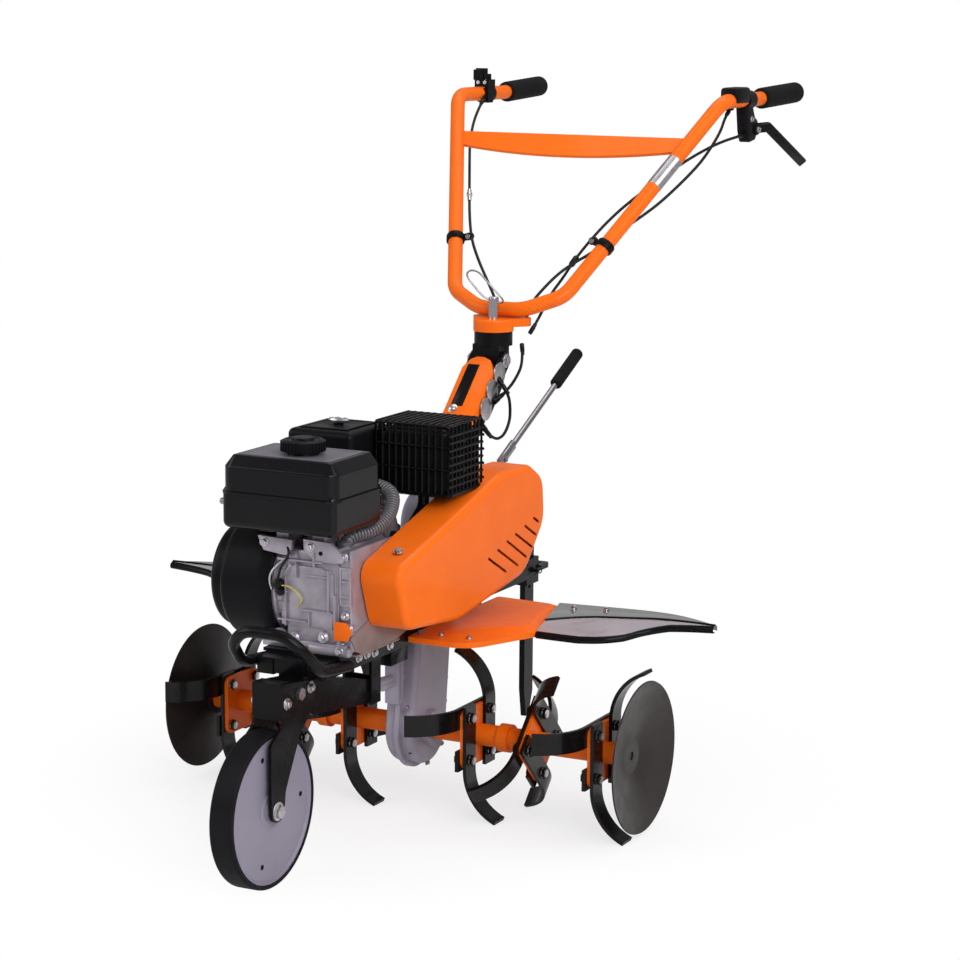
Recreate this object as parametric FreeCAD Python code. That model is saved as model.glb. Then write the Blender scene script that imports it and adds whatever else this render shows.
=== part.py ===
"""Walk-behind rotary tiller: one STEP file per sub-part, in millimetres.

Axes: +X is the belt-cover side, which is on the right when the tiller is seen from the front, +Y points
back to the handlebar and +Z points up.  "Right" and "left" in the names follow that front view.  The
working layout is drawn with the tine axle at y = 0 and the ground at z = 0; every part is then shifted
along Y so that the origin is the bottom centre of the bounding box.
"""
import FreeCAD, Part

import math
import os

V = FreeCAD.Vector

# ---------------------------------------------------------------- sizes
# fits and running gaps
RUN_FIT = 0.05            # radial clearance of a shaft in its bearing
PRESS_GAP = 0.05          # radial clearance of a part pushed onto a tube
SKIN_GAP = 0.3            # clearance between neighbouring skins
SIDE_GAP = 1.0            # clearance between the cheeks of a fork and what turns between them

# tine rotor
AXLE_Z = 155.0            # height of the tine axle above the ground
TUBE_R = 21.0             # tine carrier tube
TUBE_WALL = 4.0
FLANGE_X1 = 129.5         # first flange from the centre line
FLANGE_PITCH = 131.8
FLANGE_SIDE = 114.0
FLANGE_T = 8.0
FLANGE_CORNER = 16.0
BOLT_HALF = 41.0          # half spacing of the four flange bolts
BOLT_R = 6.0
COLLAR_R = 27.0
COLLAR_L = 22.0
TINE_W = 40.0
TINE_T = 7.0
TINE_TAIL = 24.0          # bar beyond the bolt behind the axle
TINE_REACH = 155.0        # from the axle to the cut end, along the bar
TINE_BEND_R = 101.0
TINE_BEND_DEG = 69.0
TINE_BENDS = [            # side that each bar of a set bends to, from the bar that points down
    (1, 1, -1, -1),
    (-1, -1, 1, -1),
    (1, 1, 1, -1),
]
OUTBOARD_BENDS = (1, -1, 1, -1)
TINE_NUT_R = 9.5          # half the width across flats
TINE_NUT_H = 9.0
TINE_HEAD_H = 6.5
DISC_R = 143.0
DISC_T = 2.5
DISC_RIM_X = 477.0
DISC_DEPTH = 26.0
DISC_HUB_R = 34.0
DISC_DISH_R = 74.0

# chain case
CASE_T = 64.0
CASE_LOW_R = 80.0
CASE_TOP_Y = 50.0
CASE_TOP_Z = 545.0
CASE_TOP_R = 72.0
CASE_BOSS_R = 36.0
CASE_BOSS_L = 12.0
CASE_FLANGE = 9.0
CASE_FLANGE_T = 10.0
CASE_PAD_R = 13.0
INPUT_BOSS_R = 26.0
INPUT_R = 12.0

# engine
CRANK_Y = -323.0
CRANK_Z = 497.0
ENGINE_BASE = 106.0       # crankshaft height above the engine feet
BLOCK_X0 = -92.0
BLOCK_X1 = 66.0
BLOCK_HALF_Y = 92.0
BLOCK_TOP = 78.0          # top of the block above the crankshaft
SIDE_COVER_T = 30.0
CRANK_BOSS_R = 34.0
FAN_X0 = -170.0
FAN_R = 112.0
RECOIL_X0 = -200.0
RECOIL_R = 96.0
SPOUT_REACH = 108.0       # rope outlet behind the crankshaft
PULL_R = 7.0
HEAD_START = 93.0         # foot of the barrel from the crankshaft
HEAD_LEAN = 25.0
HEAD_LENGTH = 92.0
FIN_PITCH = 11.0
FIN_T = 3.5
PORT_T = 6.0
TANK_X0 = -141.0
TANK_X1 = 99.0
TANK_Y0 = -480.0
TANK_Y1 = -296.0
TANK_Z0 = 612.0
TANK_Z1 = 742.0
TANK_SEAM_Z = 676.0
TANK_SEAM = 5.0           # the rolled seam stands out this far
TANK_CORNER = 22.0
TANK_CHAMFER = 20.0       # height of the bevelled shoulder
TANK_BEVEL = 15.0         # width of the bevelled shoulder in plan
TANK_SOFT = 5.0
CAP_X = -15.0
CAP_Y = -394.0
CAP_R = 37.0
CAP_H = 24.0
CAP_NECK = 6.0
CLEANER_X0 = -145.0
CLEANER_X1 = -8.0
CLEANER_Y0 = -236.0
CLEANER_Y1 = -88.0
CLEANER_Z0 = 640.0
CLEANER_Z1 = 756.0
CLEANER_RIM = 3.0
MUFFLER_X0 = 9.0
MUFFLER_X1 = 141.0
MUFFLER_Y0 = -148.0
MUFFLER_Y1 = -36.0
MUFFLER_Z0 = 652.0
MUFFLER_Z1 = 760.0
EXHAUST_R = 11.0
GUARD_GAP = 12.0
GUARD_DROP = 14.0         # the guard hangs this far below the silencer
GUARD_BAR = 5.0
GUARD_PITCH = 11.0
GUARD_WALL = 2.5
GUARD_CLEAR = 5.0         # the guard stays this far from the belt cover
HOSE_R = 13.0

# belt cover: corners of its outline in the YZ plane, each with its rounding
COVER_X0 = 95.0
COVER_X1 = 175.0
COVER_WALL = 3.0
COVER_SOFT = 13.0
COVER_CORNERS = [
    (-392.0, 548.0, 30.0),
    (-350.0, 432.0, 35.0),
    (-150.0, 412.0, 150.0),
    (120.0, 448.0, 80.0),
    (205.0, 540.0, 60.0),
    (196.0, 625.0, 45.0),
    (140.0, 657.0, 40.0),
    (20.0, 660.0, 80.0),
]
COVER_SLOTS = [           # lower front and upper rear end of each vent
    ((33.0, 468.0), (-41.0, 507.0)),
    ((83.0, 471.0), (-3.0, 517.0)),
    ((119.0, 481.0), (37.0, 526.0)),
    ((146.0, 495.0), (72.0, 534.0)),
    ((162.0, 516.0), (112.0, 543.0)),
    ((172.0, 540.0), (150.0, 552.0)),
]
SLOT_R = 2.6
BACK_PLATE_T = 4.0
PULLEY_BIG_R = 82.0
PULLEY_T = 22.0
PULLEY_OFFSET = 14.0      # pulley from the back plate

# frame
RAIL_X = 52.0
RAIL_W = 34.0
RAIL_H = 30.0
RAIL_WALL = 4.0
RAIL_Y0 = -465.0
RAIL_Y1 = 140.0
PLATE_T = 6.0
RAIL_TOP_Z = CRANK_Z - ENGINE_BASE - PLATE_T
RAIL_LOW_Z = RAIL_TOP_Z - RAIL_H
RAIL_OUT_X = RAIL_X + RAIL_W / 2.0
RAIL_IN_X = RAIL_X - RAIL_W / 2.0
BUMPER_R = 10.5
BEAM_HALF = 25.0          # half width of the beam that carries the front wheel
BEAM_NOSE_R = 19.0
BEAM_KNEE_Y = -431.0
BEAM_REAR_Y = -225.0
STRAP_T = 6.0
STRAP_L = 34.0

# front wheel and its folding fork
WHEEL_R = 140.0
WHEEL_W = 46.0
WHEEL_Y = -563.0
TYRE_BAND = 9.0
WHEEL_HUB_R = 15.0
WHEEL_AXLE_R = 8.0
ARM_PLATE_T = 5.0
ARM_IN_X = BEAM_HALF + SIDE_GAP
ARM_OUT_X = ARM_IN_X + ARM_PLATE_T
ARM_FRONT_Y = -545.0
ARM_TOP_Z = 362.0
PIVOT_Y = -493.0
PIVOT_Z = 335.0
PIVOT_R = 7.0

# fenders: edge and fold outlines of each pressing in plan, with corner roundings
FENDER_T = 2.0
FENDER_X0 = RAIL_OUT_X + SKIN_GAP
FENDER_EDGE_Z = 372.0
FENDER_LIP = 10.0
FENDER_RISE = 8.0
INNER_EDGE = [
    (FENDER_X0, -165.0, 6.0),
    (196.0, -165.0, 60.0),
    (262.0, -16.0, 4.0),
    (211.0, 197.0, 4.0),
    (FENDER_X0, 205.0, 6.0),
]
INNER_FOLD = [
    (FENDER_X0 + 12.0, -118.0, 5.0),
    (140.0, -104.0, 50.0),
    (240.0, -6.0, 3.0),
    (198.0, 180.0, 3.0),
    (FENDER_X0 + 12.0, 188.0, 5.0),
]
OUTER_EDGE = [
    (262.3, -15.9, 4.0),
    (440.0, -32.0, 90.0),
    (520.0, 36.0, 50.0),
    (592.0, 51.0, 5.0),
    (594.0, 64.0, 5.0),
    (470.0, 153.0, 60.0),
    (211.4, 196.9, 4.0),
]
OUTER_FOLD = [
    (272.0, 14.0, 3.0),
    (424.0, 6.0, 80.0),
    (500.0, 56.0, 40.0),
    (560.0, 62.0, 3.0),
    (562.0, 70.0, 3.0),
    (456.0, 134.0, 50.0),
    (229.0, 178.0, 3.0),
]
OUTER_TILT = 4.4          # the outer pressing climbs outwards, in degrees

# column and head
COLUMN_W = 60.0
COLUMN_H = 52.0
COLUMN_KNEE = (100.0, 630.0)
COLUMN_END = (268.0, 792.0)
CHEEK_T = 6.0
CHEEK_R = 18.0
HEIGHT_PIVOT_Y = 304.0
HEIGHT_PIVOT_Z = 828.0
HEIGHT_BOLT_R = 6.0
COVER_SHELL = 2.5
COVER_LIP = 14.0
COVER_REACH = 28.0        # the column cover runs past the column's end
COVER_NOSE = 36.0         # length of its narrowed nose
SWIVEL_Y = 320.0
SWIVEL_R = 8.0
HEAD_R = 38.0
HEAD_LOW_Z = 856.0
HEAD_TOP_Z = 884.0
CUP_R = 40.0
CUP_TOP_Z = 908.4
SLEEVE_R = 10.0
SLEEVE_TOP_Z = 951.0

# handlebar centre line: the left half mirrors the right half
TUBE_BAR_R = 15.0
TUBE_BAR_WALL = 2.5
BAR_BOTTOM = (48.0, 350.0, CUP_TOP_Z + TUBE_BAR_R + 2.0 * SKIN_GAP)
BAR_LOW = (122.0, 388.0, 952.0)
BAR_TOP = (304.0, 748.0, 1326.0)
BAR_GRIP = (299.5, 955.0, 1325.0)
BAR_END = (308.0, 1156.0, 1333.0)
BAR_BOTTOM_BEND = 80.0
BAR_LOW_BEND = 60.0
BAR_TOP_BEND = 70.0
BAR_GRIP_BEND = 120.0
HALF_RADII = [BAR_BOTTOM_BEND, BAR_LOW_BEND, BAR_TOP_BEND, BAR_GRIP_BEND]
HANDLEBAR_RADII = HALF_RADII[::-1] + HALF_RADII
GRIP_R = 22.0
GRIP_GAP = 10.0           # bare tube between the last bend and the grip
GRIP_CAP = 3.0
CROSSBAR_T = 8.0
CROSSBAR_DEPTH = 48.0
CROSSBAR_SHARE = 0.80     # place of its top edge along the arms

# controls
CLAMP_WALL = 5.0
THROTTLE_Y = 872.0
CLUTCH_Y = 850.0
CABLE_R = 3.0
GLAND_R = 5.5
GLAND_L = 14.0

# gear lever
LEVER_FOOT = (22.0, 128.0, 531.0)
LEVER_TOP = (22.0, 652.0, 791.0)
LEVER_R = 6.0
LEVER_GRIP_R = 12.5
LEVER_GRIP_L = 122.0

# depth stake and hitch
STAKE_Y = 483.0
STAKE_LOW_Z = 60.0
STAKE_TOP_Z = 420.0
STAKE_W = 40.0
STAKE_T = 12.0
STAKE_GAP = 0.5
STAKE_HOLE_R = 5.5
STAKE_HOLE_PITCH = 34.0
SOCKET_WALL = 7.0
HITCH_R = 6.5
HITCH_T = 10.0
HITCH_Y = STAKE_Y + STAKE_W / 2.0 + STAKE_GAP + 32.0

# the bounding box runs from the front of the wheel to the back of the grips
FRONT_Y = WHEEL_Y - WHEEL_R
BACK_Y = BAR_END[1] + GRIP_CAP
ORIGIN_Y = (FRONT_Y + BACK_Y) / 2.0

# routes chosen by hand, in the working layout
HOSE_POINTS = [
    (56.0, -372.0, CRANK_Z + BLOCK_TOP - 8.0),
    (56.0, -372.0, 595.0),
    (78.0, -310.0, 595.0),
    (80.0, -245.0, 614.0),
    (52.0, -182.0, 655.0),
    (CLEANER_X1, -182.0, 655.0),
]
HOSE_RADII = [20.0, 40.0, 40.0, 30.0]
THROTTLE_PORT = (-15.3, -36.0, -9.4)     # cable mouths, from the tube's centre at the control
REVERSE_PORT = (-16.8, -18.0, -21.5)
CLUTCH_PORT = (0.2, 19.0, -72.5)
CABLE_THROTTLE = [
    (-281.0, 785.0, 1284.0),
    (-262.0, 723.0, 1232.0),
    (-230.0, 660.0, 1180.0),
    (-200.0, 602.0, 1126.0),
    (-178.0, 560.0, 1085.0),
    (-150.0, 515.0, 1042.0),
    (-116.0, 480.0, 1004.0),
    (-68.0, 428.0, 968.0),
    (-32.0, 398.0, 930.0),
    (-24.0, 390.0, 892.0),
]
CABLE_REVERSE = [
    (289.0, 800.0, 1292.0),
    (297.0, 757.0, 1263.0),
    (295.0, 678.0, 1215.0),
    (278.0, 646.0, 1184.0),
    (258.0, 616.0, 1155.0),
    (237.0, 589.0, 1128.0),
    (214.0, 569.0, 1106.0),
    (187.0, 546.0, 1083.0),
    (161.0, 518.0, 1055.0),
    (130.0, 489.0, 1028.0),
    (100.0, 468.0, 1008.0),
    (77.0, 448.0, 987.0),
    (58.0, 424.0, 960.0),
    (44.0, 402.0, 935.0),
    (38.0, 388.0, 905.0),
]
CABLE_CLUTCH = [
    (300.0, 812.0, 1249.0),
    (293.0, 745.0, 1240.0),
    (275.0, 688.0, 1222.0),
    (244.0, 663.0, 1198.0),
    (200.0, 625.0, 1158.0),
    (162.0, 590.0, 1121.0),
    (131.0, 558.0, 1083.0),
    (106.0, 523.0, 1042.0),
    (92.0, 492.0, 1010.0),
    (85.0, 459.0, 980.0),
    (77.0, 430.0, 956.0),
    (75.0, 403.0, 935.0),
    (72.0, 376.0, 906.0),
    (58.0, 364.0, 876.0),
]
CABLE_DROP = [
    (47.0, 352.0, 858.0),
    (49.0, 356.0, 820.0),
    (49.0, 322.0, 790.0),
    (48.0, 284.0, 771.0),
    (44.0, 254.0, 759.0),
]
CABLE_LOOP = [
    (46.0, 267.0, 787.0),
    (59.0, 270.0, 768.0),
    (61.0, 275.0, 741.0),
    (60.0, 275.0, 712.0),
    (55.0, 257.0, 684.0),
    (48.0, 227.0, 682.0),
    (42.0, 205.0, 704.0),
]


# ---------------------------------------------------------------- shape helpers
def box(x0, x1, y0, y1, z0, z1):
    """Box from its six planes."""
    return Part.makeBox(x1 - x0, y1 - y0, z1 - z0, V(x0, y0, z0))


def cyl_x(x0, x1, y, z, r):
    """Cylinder along X."""
    return Part.makeCylinder(r, x1 - x0, V(x0, y, z), V(1, 0, 0))


def cyl_z(x, y, z0, z1, r):
    """Cylinder along Z."""
    return Part.makeCylinder(r, z1 - z0, V(x, y, z0), V(0, 0, 1))


def cyl_between(a, b, r):
    """Cylinder from point a to point b."""
    start = V(*a)
    axis = V(*b).sub(start)
    return Part.makeCylinder(r, axis.Length, start, axis)


def prism_yz(points, x0, x1):
    """Prism along X from an outline given as (y, z) points."""
    loop = [V(x0, y, z) for y, z in points]
    face = Part.Face(Part.makePolygon(loop + loop[:1]))
    return face.extrude(V(x1 - x0, 0, 0))


def prism_xy(points, z0, z1):
    """Prism along Z from an outline given as (x, y) points."""
    loop = [V(x, y, z0) for x, y in points]
    face = Part.Face(Part.makePolygon(loop + loop[:1]))
    return face.extrude(V(0, 0, z1 - z0))


def belt_face(a, ra, b, rb, x):
    """Face in a YZ plane wrapped round two circles like an open belt."""
    dy = b[0] - a[0]
    dz = b[1] - a[1]
    reach = math.hypot(dy, dz)
    base = math.atan2(dz, dy)
    lean = math.acos((ra - rb) / reach)

    def on(centre, radius, angle):
        return V(x, centre[0] + radius * math.cos(angle), centre[1] + radius * math.sin(angle))

    a_up = on(a, ra, base + lean)
    a_dn = on(a, ra, base - lean)
    b_up = on(b, rb, base + lean)
    b_dn = on(b, rb, base - lean)
    a_mid = on(a, ra, base + math.pi)
    b_mid = on(b, rb, base)
    edges = [
        Part.LineSegment(a_up, b_up).toShape(),
        Part.Arc(b_up, b_mid, b_dn).toShape(),
        Part.LineSegment(b_dn, a_dn).toShape(),
        Part.Arc(a_dn, a_mid, a_up).toShape(),
    ]
    return Part.Face(Part.Wire(edges))


def belt_prism(a, ra, b, rb, x0, x1):
    """Prism along X wrapped round two circles."""
    return belt_face(a, ra, b, rb, x0).extrude(V(x1 - x0, 0, 0))


def bent_path(points, radii):
    """Wire of straight runs joined by tangent arcs; radii holds one value per inner point."""
    pts = [V(*p) for p in points]
    edges = []
    start = pts[0]
    for i in range(1, len(pts) - 1):
        into = pts[i].sub(pts[i - 1]).normalize()
        out = pts[i + 1].sub(pts[i]).normalize()
        turn = into.getAngle(out)
        back = radii[i - 1] * math.tan(turn / 2.0)
        p0 = pts[i].sub(V(into).multiply(back))
        p2 = pts[i].add(V(out).multiply(back))
        bisector = V(out).sub(into).normalize()
        depth = radii[i - 1] * (1.0 / math.cos(turn / 2.0) - 1.0)
        p1 = pts[i].add(bisector.multiply(depth))
        if start.distanceToPoint(p0) > 1e-3:
            edges.append(Part.LineSegment(start, p0).toShape())
        edges.append(Part.Arc(p0, p1, p2).toShape())
        start = p2
    if start.distanceToPoint(pts[-1]) > 1e-3:
        edges.append(Part.LineSegment(start, pts[-1]).toShape())
    return Part.Wire(edges)


def rod(points, radii, r, wall=0.0):
    """Round rod or tube along a bent path."""
    path = bent_path(points, radii)
    start = V(*points[0])
    axis = V(*points[1]).sub(start)
    outer = Part.Wire(Part.makeCircle(r, start, axis))
    if wall > 0.0:
        inner = Part.Wire(Part.makeCircle(r - wall, start, axis))
        solid = path.makePipe(Part.Face(outer)).cut(path.makePipe(Part.Face(inner)))
    else:
        solid = path.makePipe(Part.Face(outer))
    return solid


def cord(name, points, r):
    """Cable along its route: each arc is as large as its two runs allow."""
    pts = [V(*p) for p in points]
    radii = []
    for i in range(1, len(pts) - 1):
        into = pts[i].sub(pts[i - 1])
        out = pts[i + 1].sub(pts[i])
        turn = into.getAngle(out)
        radii.append(0.45 * min(into.Length, out.Length) / math.tan(turn / 2.0))
    solid = rod(points, radii, r)
    length = bent_path(points, radii).Length
    drift = solid.Volume / (math.pi * r * r * length) - 1.0
    print(f"{name}: length {length:.0f} mm, radii {[round(v) for v in radii]}, volume drift {drift:.4f}")
    return solid


def mirrored(shape):
    """Copy mirrored across the machine's centre plane."""
    return shape.mirror(V(0, 0, 0), V(1, 0, 0))


def fused(shapes):
    """Union of several shapes with merged faces."""
    result = shapes[0]
    for shape in shapes[1:]:
        result = result.fuse(shape)
    return result.removeSplitter()


def rounded(shape, radius, pick):
    """Fillet the edges that the pick function accepts."""
    edges = [edge for edge in shape.Edges if pick(edge)]
    return shape.makeFillet(radius, edges)


def along(edge, axis):
    """True where a straight edge runs along the given axis vector."""
    if not isinstance(edge.Curve, Part.Line):
        return False
    return abs(abs(edge.tangentAt(edge.FirstParameter).dot(axis)) - 1.0) < 1e-6


X_AXIS = V(1, 0, 0)
Y_AXIS = V(0, 1, 0)
Z_AXIS = V(0, 0, 1)


def soft_box(x0, x1, y0, y1, z0, z1, r):
    """Box with every edge rounded."""
    body = box(x0, x1, y0, y1, z0, z1)
    return body.makeFillet(r, body.Edges)


# ---------------------------------------------------------------- tine rotor
def flange(x, turn_deg):
    """Square flange plate with four bolt holes, welded to the carrier tube."""
    half = FLANGE_SIDE / 2.0
    plate = box(x - FLANGE_T / 2.0, x + FLANGE_T / 2.0, -half, half, AXLE_Z - half, AXLE_Z + half)
    plate = rounded(plate, FLANGE_CORNER, lambda edge: along(edge, X_AXIS))
    plate = plate.cut(cyl_x(x - FLANGE_T, x + FLANGE_T, 0, AXLE_Z, TUBE_R - TUBE_WALL / 2.0))
    for sy in (-1, 1):
        for sz in (-1, 1):
            y = sy * BOLT_HALF
            z = AXLE_Z + sz * BOLT_HALF
            plate = plate.cut(cyl_x(x - FLANGE_T, x + FLANGE_T, y, z, BOLT_R))
    plate.rotate(V(x, 0, AXLE_Z), X_AXIS, turn_deg)
    return plate


def carrier(side):
    """Orange tube with three flanges and its inner collar; side is +1 or -1."""
    x_in = CASE_T / 2.0 + CASE_BOSS_L + 2.0
    x_out = DISC_RIM_X - DISC_DEPTH - 4.0
    body = cyl_x(x_in, x_out, 0, AXLE_Z, TUBE_R)
    for index in range(3):
        x = FLANGE_X1 + index * FLANGE_PITCH
        body = body.fuse(flange(x, 45.0 if index == 1 else 0.0))
    joint_x = FLANGE_X1 + FLANGE_PITCH / 2.0
    body = body.fuse(cyl_x(joint_x - COLLAR_L / 2.0, joint_x + COLLAR_L / 2.0, 0, AXLE_Z, COLLAR_R))
    body = body.cut(cyl_x(x_in - 1.0, x_out + 1.0, 0, AXLE_Z, TUBE_R - TUBE_WALL))
    if side < 0:
        body = mirrored(body)
    return body.removeSplitter()


def tine(x_face, face_side, bend_side, quarter, turn_deg):
    """One bar: bolted on a flange face, bent out of plane over its outer third.

    The bar is drawn pointing down beside the axle, then turned about the axle by quarter * 90 degrees.
    """
    bend = math.radians(TINE_BEND_DEG)
    run = TINE_REACH - (TINE_BEND_R + TINE_T / 2.0) * math.sin(bend)
    tail = BOLT_HALF + TINE_TAIL
    x_mid = x_face + face_side * TINE_T / 2.0
    centre_x = x_mid + bend_side * TINE_BEND_R

    def arc_point(angle, radius):
        return V(centre_x - bend_side * radius * math.cos(angle), 0, AXLE_Z - run - radius * math.sin(angle))

    near = TINE_BEND_R - TINE_T / 2.0
    far = TINE_BEND_R + TINE_T / 2.0
    inner = [arc_point(a, near) for a in (0.0, bend / 2.0, bend)]
    outer = [arc_point(a, far) for a in (0.0, bend / 2.0, bend)]
    top_in = V(inner[0].x, 0, AXLE_Z + tail)
    top_out = V(outer[0].x, 0, AXLE_Z + tail)
    edges = [
        Part.LineSegment(top_in, inner[0]).toShape(),
        Part.Arc(*inner).toShape(),
        Part.LineSegment(inner[2], outer[2]).toShape(),
        Part.Arc(outer[2], outer[1], outer[0]).toShape(),
        Part.LineSegment(outer[0], top_out).toShape(),
        Part.LineSegment(top_out, top_in).toShape(),
    ]
    face = Part.Face(Part.Wire(edges))
    face.translate(V(0, -BOLT_HALF - TINE_W / 2.0, 0))
    bar = face.extrude(V(0, TINE_W, 0))
    for sz in (-1, 1):
        hole = cyl_x(x_mid - TINE_T, x_mid + TINE_T, -BOLT_HALF, AXLE_Z + sz * BOLT_HALF, BOLT_R)
        bar = bar.cut(hole)
    bar.rotate(V(0, 0, AXLE_Z), X_AXIS, 90.0 * quarter + turn_deg)
    return bar


def tine_set(x, index):
    """Four bars and their four bolts on one flange, two bars on each face of it."""
    turn = 45.0 if index == 1 else 0.0
    out_face = x + FLANGE_T / 2.0
    in_face = x - FLANGE_T / 2.0
    bends = TINE_BENDS[index]
    bars = [
        tine(out_face, 1, bends[0], 0, turn),
        tine(in_face, -1, bends[1], 1, turn),
        tine(out_face, 1, bends[2], 2, turn),
        tine(in_face, -1, bends[3], 3, turn),
    ]
    return Part.makeCompound(bars + tine_bolts(in_face - TINE_T, out_face + TINE_T, turn))


def outboard_tine_set(x):
    """Last set on the left: all four bars sit on the far face of the flange, in two layers."""
    near_face = x - FLANGE_T / 2.0
    far_face = near_face - TINE_T
    bends = OUTBOARD_BENDS
    bars = [
        tine(near_face, -1, bends[0], 0, 0.0),
        tine(far_face, -1, bends[1], 1, 0.0),
        tine(near_face, -1, bends[2], 2, 0.0),
        tine(far_face, -1, bends[3], 3, 0.0),
    ]
    return Part.makeCompound(bars + tine_bolts(far_face - TINE_T, x + FLANGE_T / 2.0, 0.0))


def tine_bolts(x0, x1, turn):
    """Four bolts through a flange and its bars, heads on the +X side."""
    bolts = []
    for sy in (-1, 1):
        for sz in (-1, 1):
            y = sy * BOLT_HALF
            z = AXLE_Z + sz * BOLT_HALF
            shank = cyl_x(x0, x1, y, z, BOLT_R - PRESS_GAP)
            head = hexagon_x(x1, x1 + TINE_HEAD_H, y, z, TINE_NUT_R)
            nut = hexagon_x(x0 - TINE_NUT_H, x0, y, z, TINE_NUT_R)
            bolt = fused([shank, head, nut])
            bolt.rotate(V(x0, 0, AXLE_Z), X_AXIS, turn)
            bolts.append(bolt)
    return bolts


def hexagon_x(x0, x1, y, z, flat):
    """Hexagonal prism along X with the given half distance across flats."""
    corner = flat / math.cos(math.pi / 6.0)
    points = []
    for i in range(6):
        angle = math.radians(60.0 * i + 30.0)
        points.append((y + corner * math.cos(angle), z + corner * math.sin(angle)))
    return prism_yz(points, x0, x1)


def plant_disc():
    """Shallow pressed dish at the outer end of the tines."""
    rim = DISC_RIM_X
    hub = DISC_RIM_X - DISC_DEPTH
    t = DISC_T
    profile = [
        (hub, TUBE_R - TUBE_WALL - 9.0),
        (hub, DISC_HUB_R),
        (hub + 10.0, DISC_DISH_R),
        (rim, DISC_R),
        (rim + t, DISC_R - 1.0),
        (hub + 10.0 + t, DISC_DISH_R - 1.0),
        (hub + t, DISC_HUB_R - 1.0),
        (hub + t, TUBE_R - TUBE_WALL - 9.0),
    ]
    loop = [V(x, 0, AXLE_Z + r) for x, r in profile]
    face = Part.Face(Part.makePolygon(loop + loop[:1]))
    dish = face.revolve(V(0, 0, AXLE_Z), X_AXIS, 360)
    plug = cyl_x(hub - 40.0, hub, 0, AXLE_Z, TUBE_R - TUBE_WALL - PRESS_GAP)
    plug = plug.fuse(cyl_x(hub - 3.7, hub, 0, AXLE_Z, DISC_HUB_R))
    return fused([dish, plug])


def tine_axle():
    """Steel output shaft of the chain case, plugged into both carrier tubes."""
    reach = CASE_T / 2.0 + CASE_BOSS_L + 60.0
    shaft = cyl_x(-reach, reach, 0, AXLE_Z, TUBE_R - TUBE_WALL - PRESS_GAP)
    return shaft


# ---------------------------------------------------------------- chain case
def gearcase():
    """Two pressed halves with a bolted flange, from the input shaft down to the tine axle."""
    low = (0.0, AXLE_Z)
    top = (CASE_TOP_Y, CASE_TOP_Z)
    half = CASE_T / 2.0
    body = belt_prism(low, CASE_LOW_R - CASE_FLANGE, top, CASE_TOP_R - CASE_FLANGE, -half, half)
    body = rounded(body, 12.0, lambda edge: abs(abs(edge.CenterOfMass.x) - half) < 0.01)
    seam = belt_prism(low, CASE_LOW_R, top, CASE_TOP_R, -CASE_FLANGE_T / 2.0, CASE_FLANGE_T / 2.0)
    boss = cyl_x(-half - CASE_BOSS_L, half + CASE_BOSS_L, 0, AXLE_Z, CASE_BOSS_R)
    input_boss = cyl_x(0.0, COVER_X0, CASE_TOP_Y, CASE_TOP_Z, INPUT_BOSS_R)
    pads = []
    for y in (0.0, 76.0):
        pads.append(cyl_x(-RAIL_IN_X, RAIL_IN_X, y, RAIL_TOP_Z - RAIL_H / 2.0, CASE_PAD_R))
    tie_front = BEAM_REAR_Y - 4.0 + STRAP_L
    tie = cyl_between((0.0, tie_front, 276.0), (0.0, -30.0, 262.0), 9.0).cut(
        box(-20.0, 20.0, tie_front - 40.0, tie_front, 240.0, 310.0))
    lever_axis = bar_direction(LEVER_FOOT, LEVER_TOP)
    boss_l = 40.0
    lever_root = V(*LEVER_FOOT).sub(V(lever_axis).multiply(boss_l))
    lever_boss = Part.makeCylinder(LEVER_R + 4.0, boss_l, lever_root, lever_axis)
    body = fused([body, seam, boss, input_boss, lever_boss, tie] + pads)
    bore = TUBE_R - TUBE_WALL - PRESS_GAP + RUN_FIT
    body = body.cut(cyl_x(-half - 50.0, half + 50.0, 0, AXLE_Z, bore))
    return body.cut(cyl_x(half, COVER_X0 + 1.0, CASE_TOP_Y, CASE_TOP_Z, INPUT_R + RUN_FIT))


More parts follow.
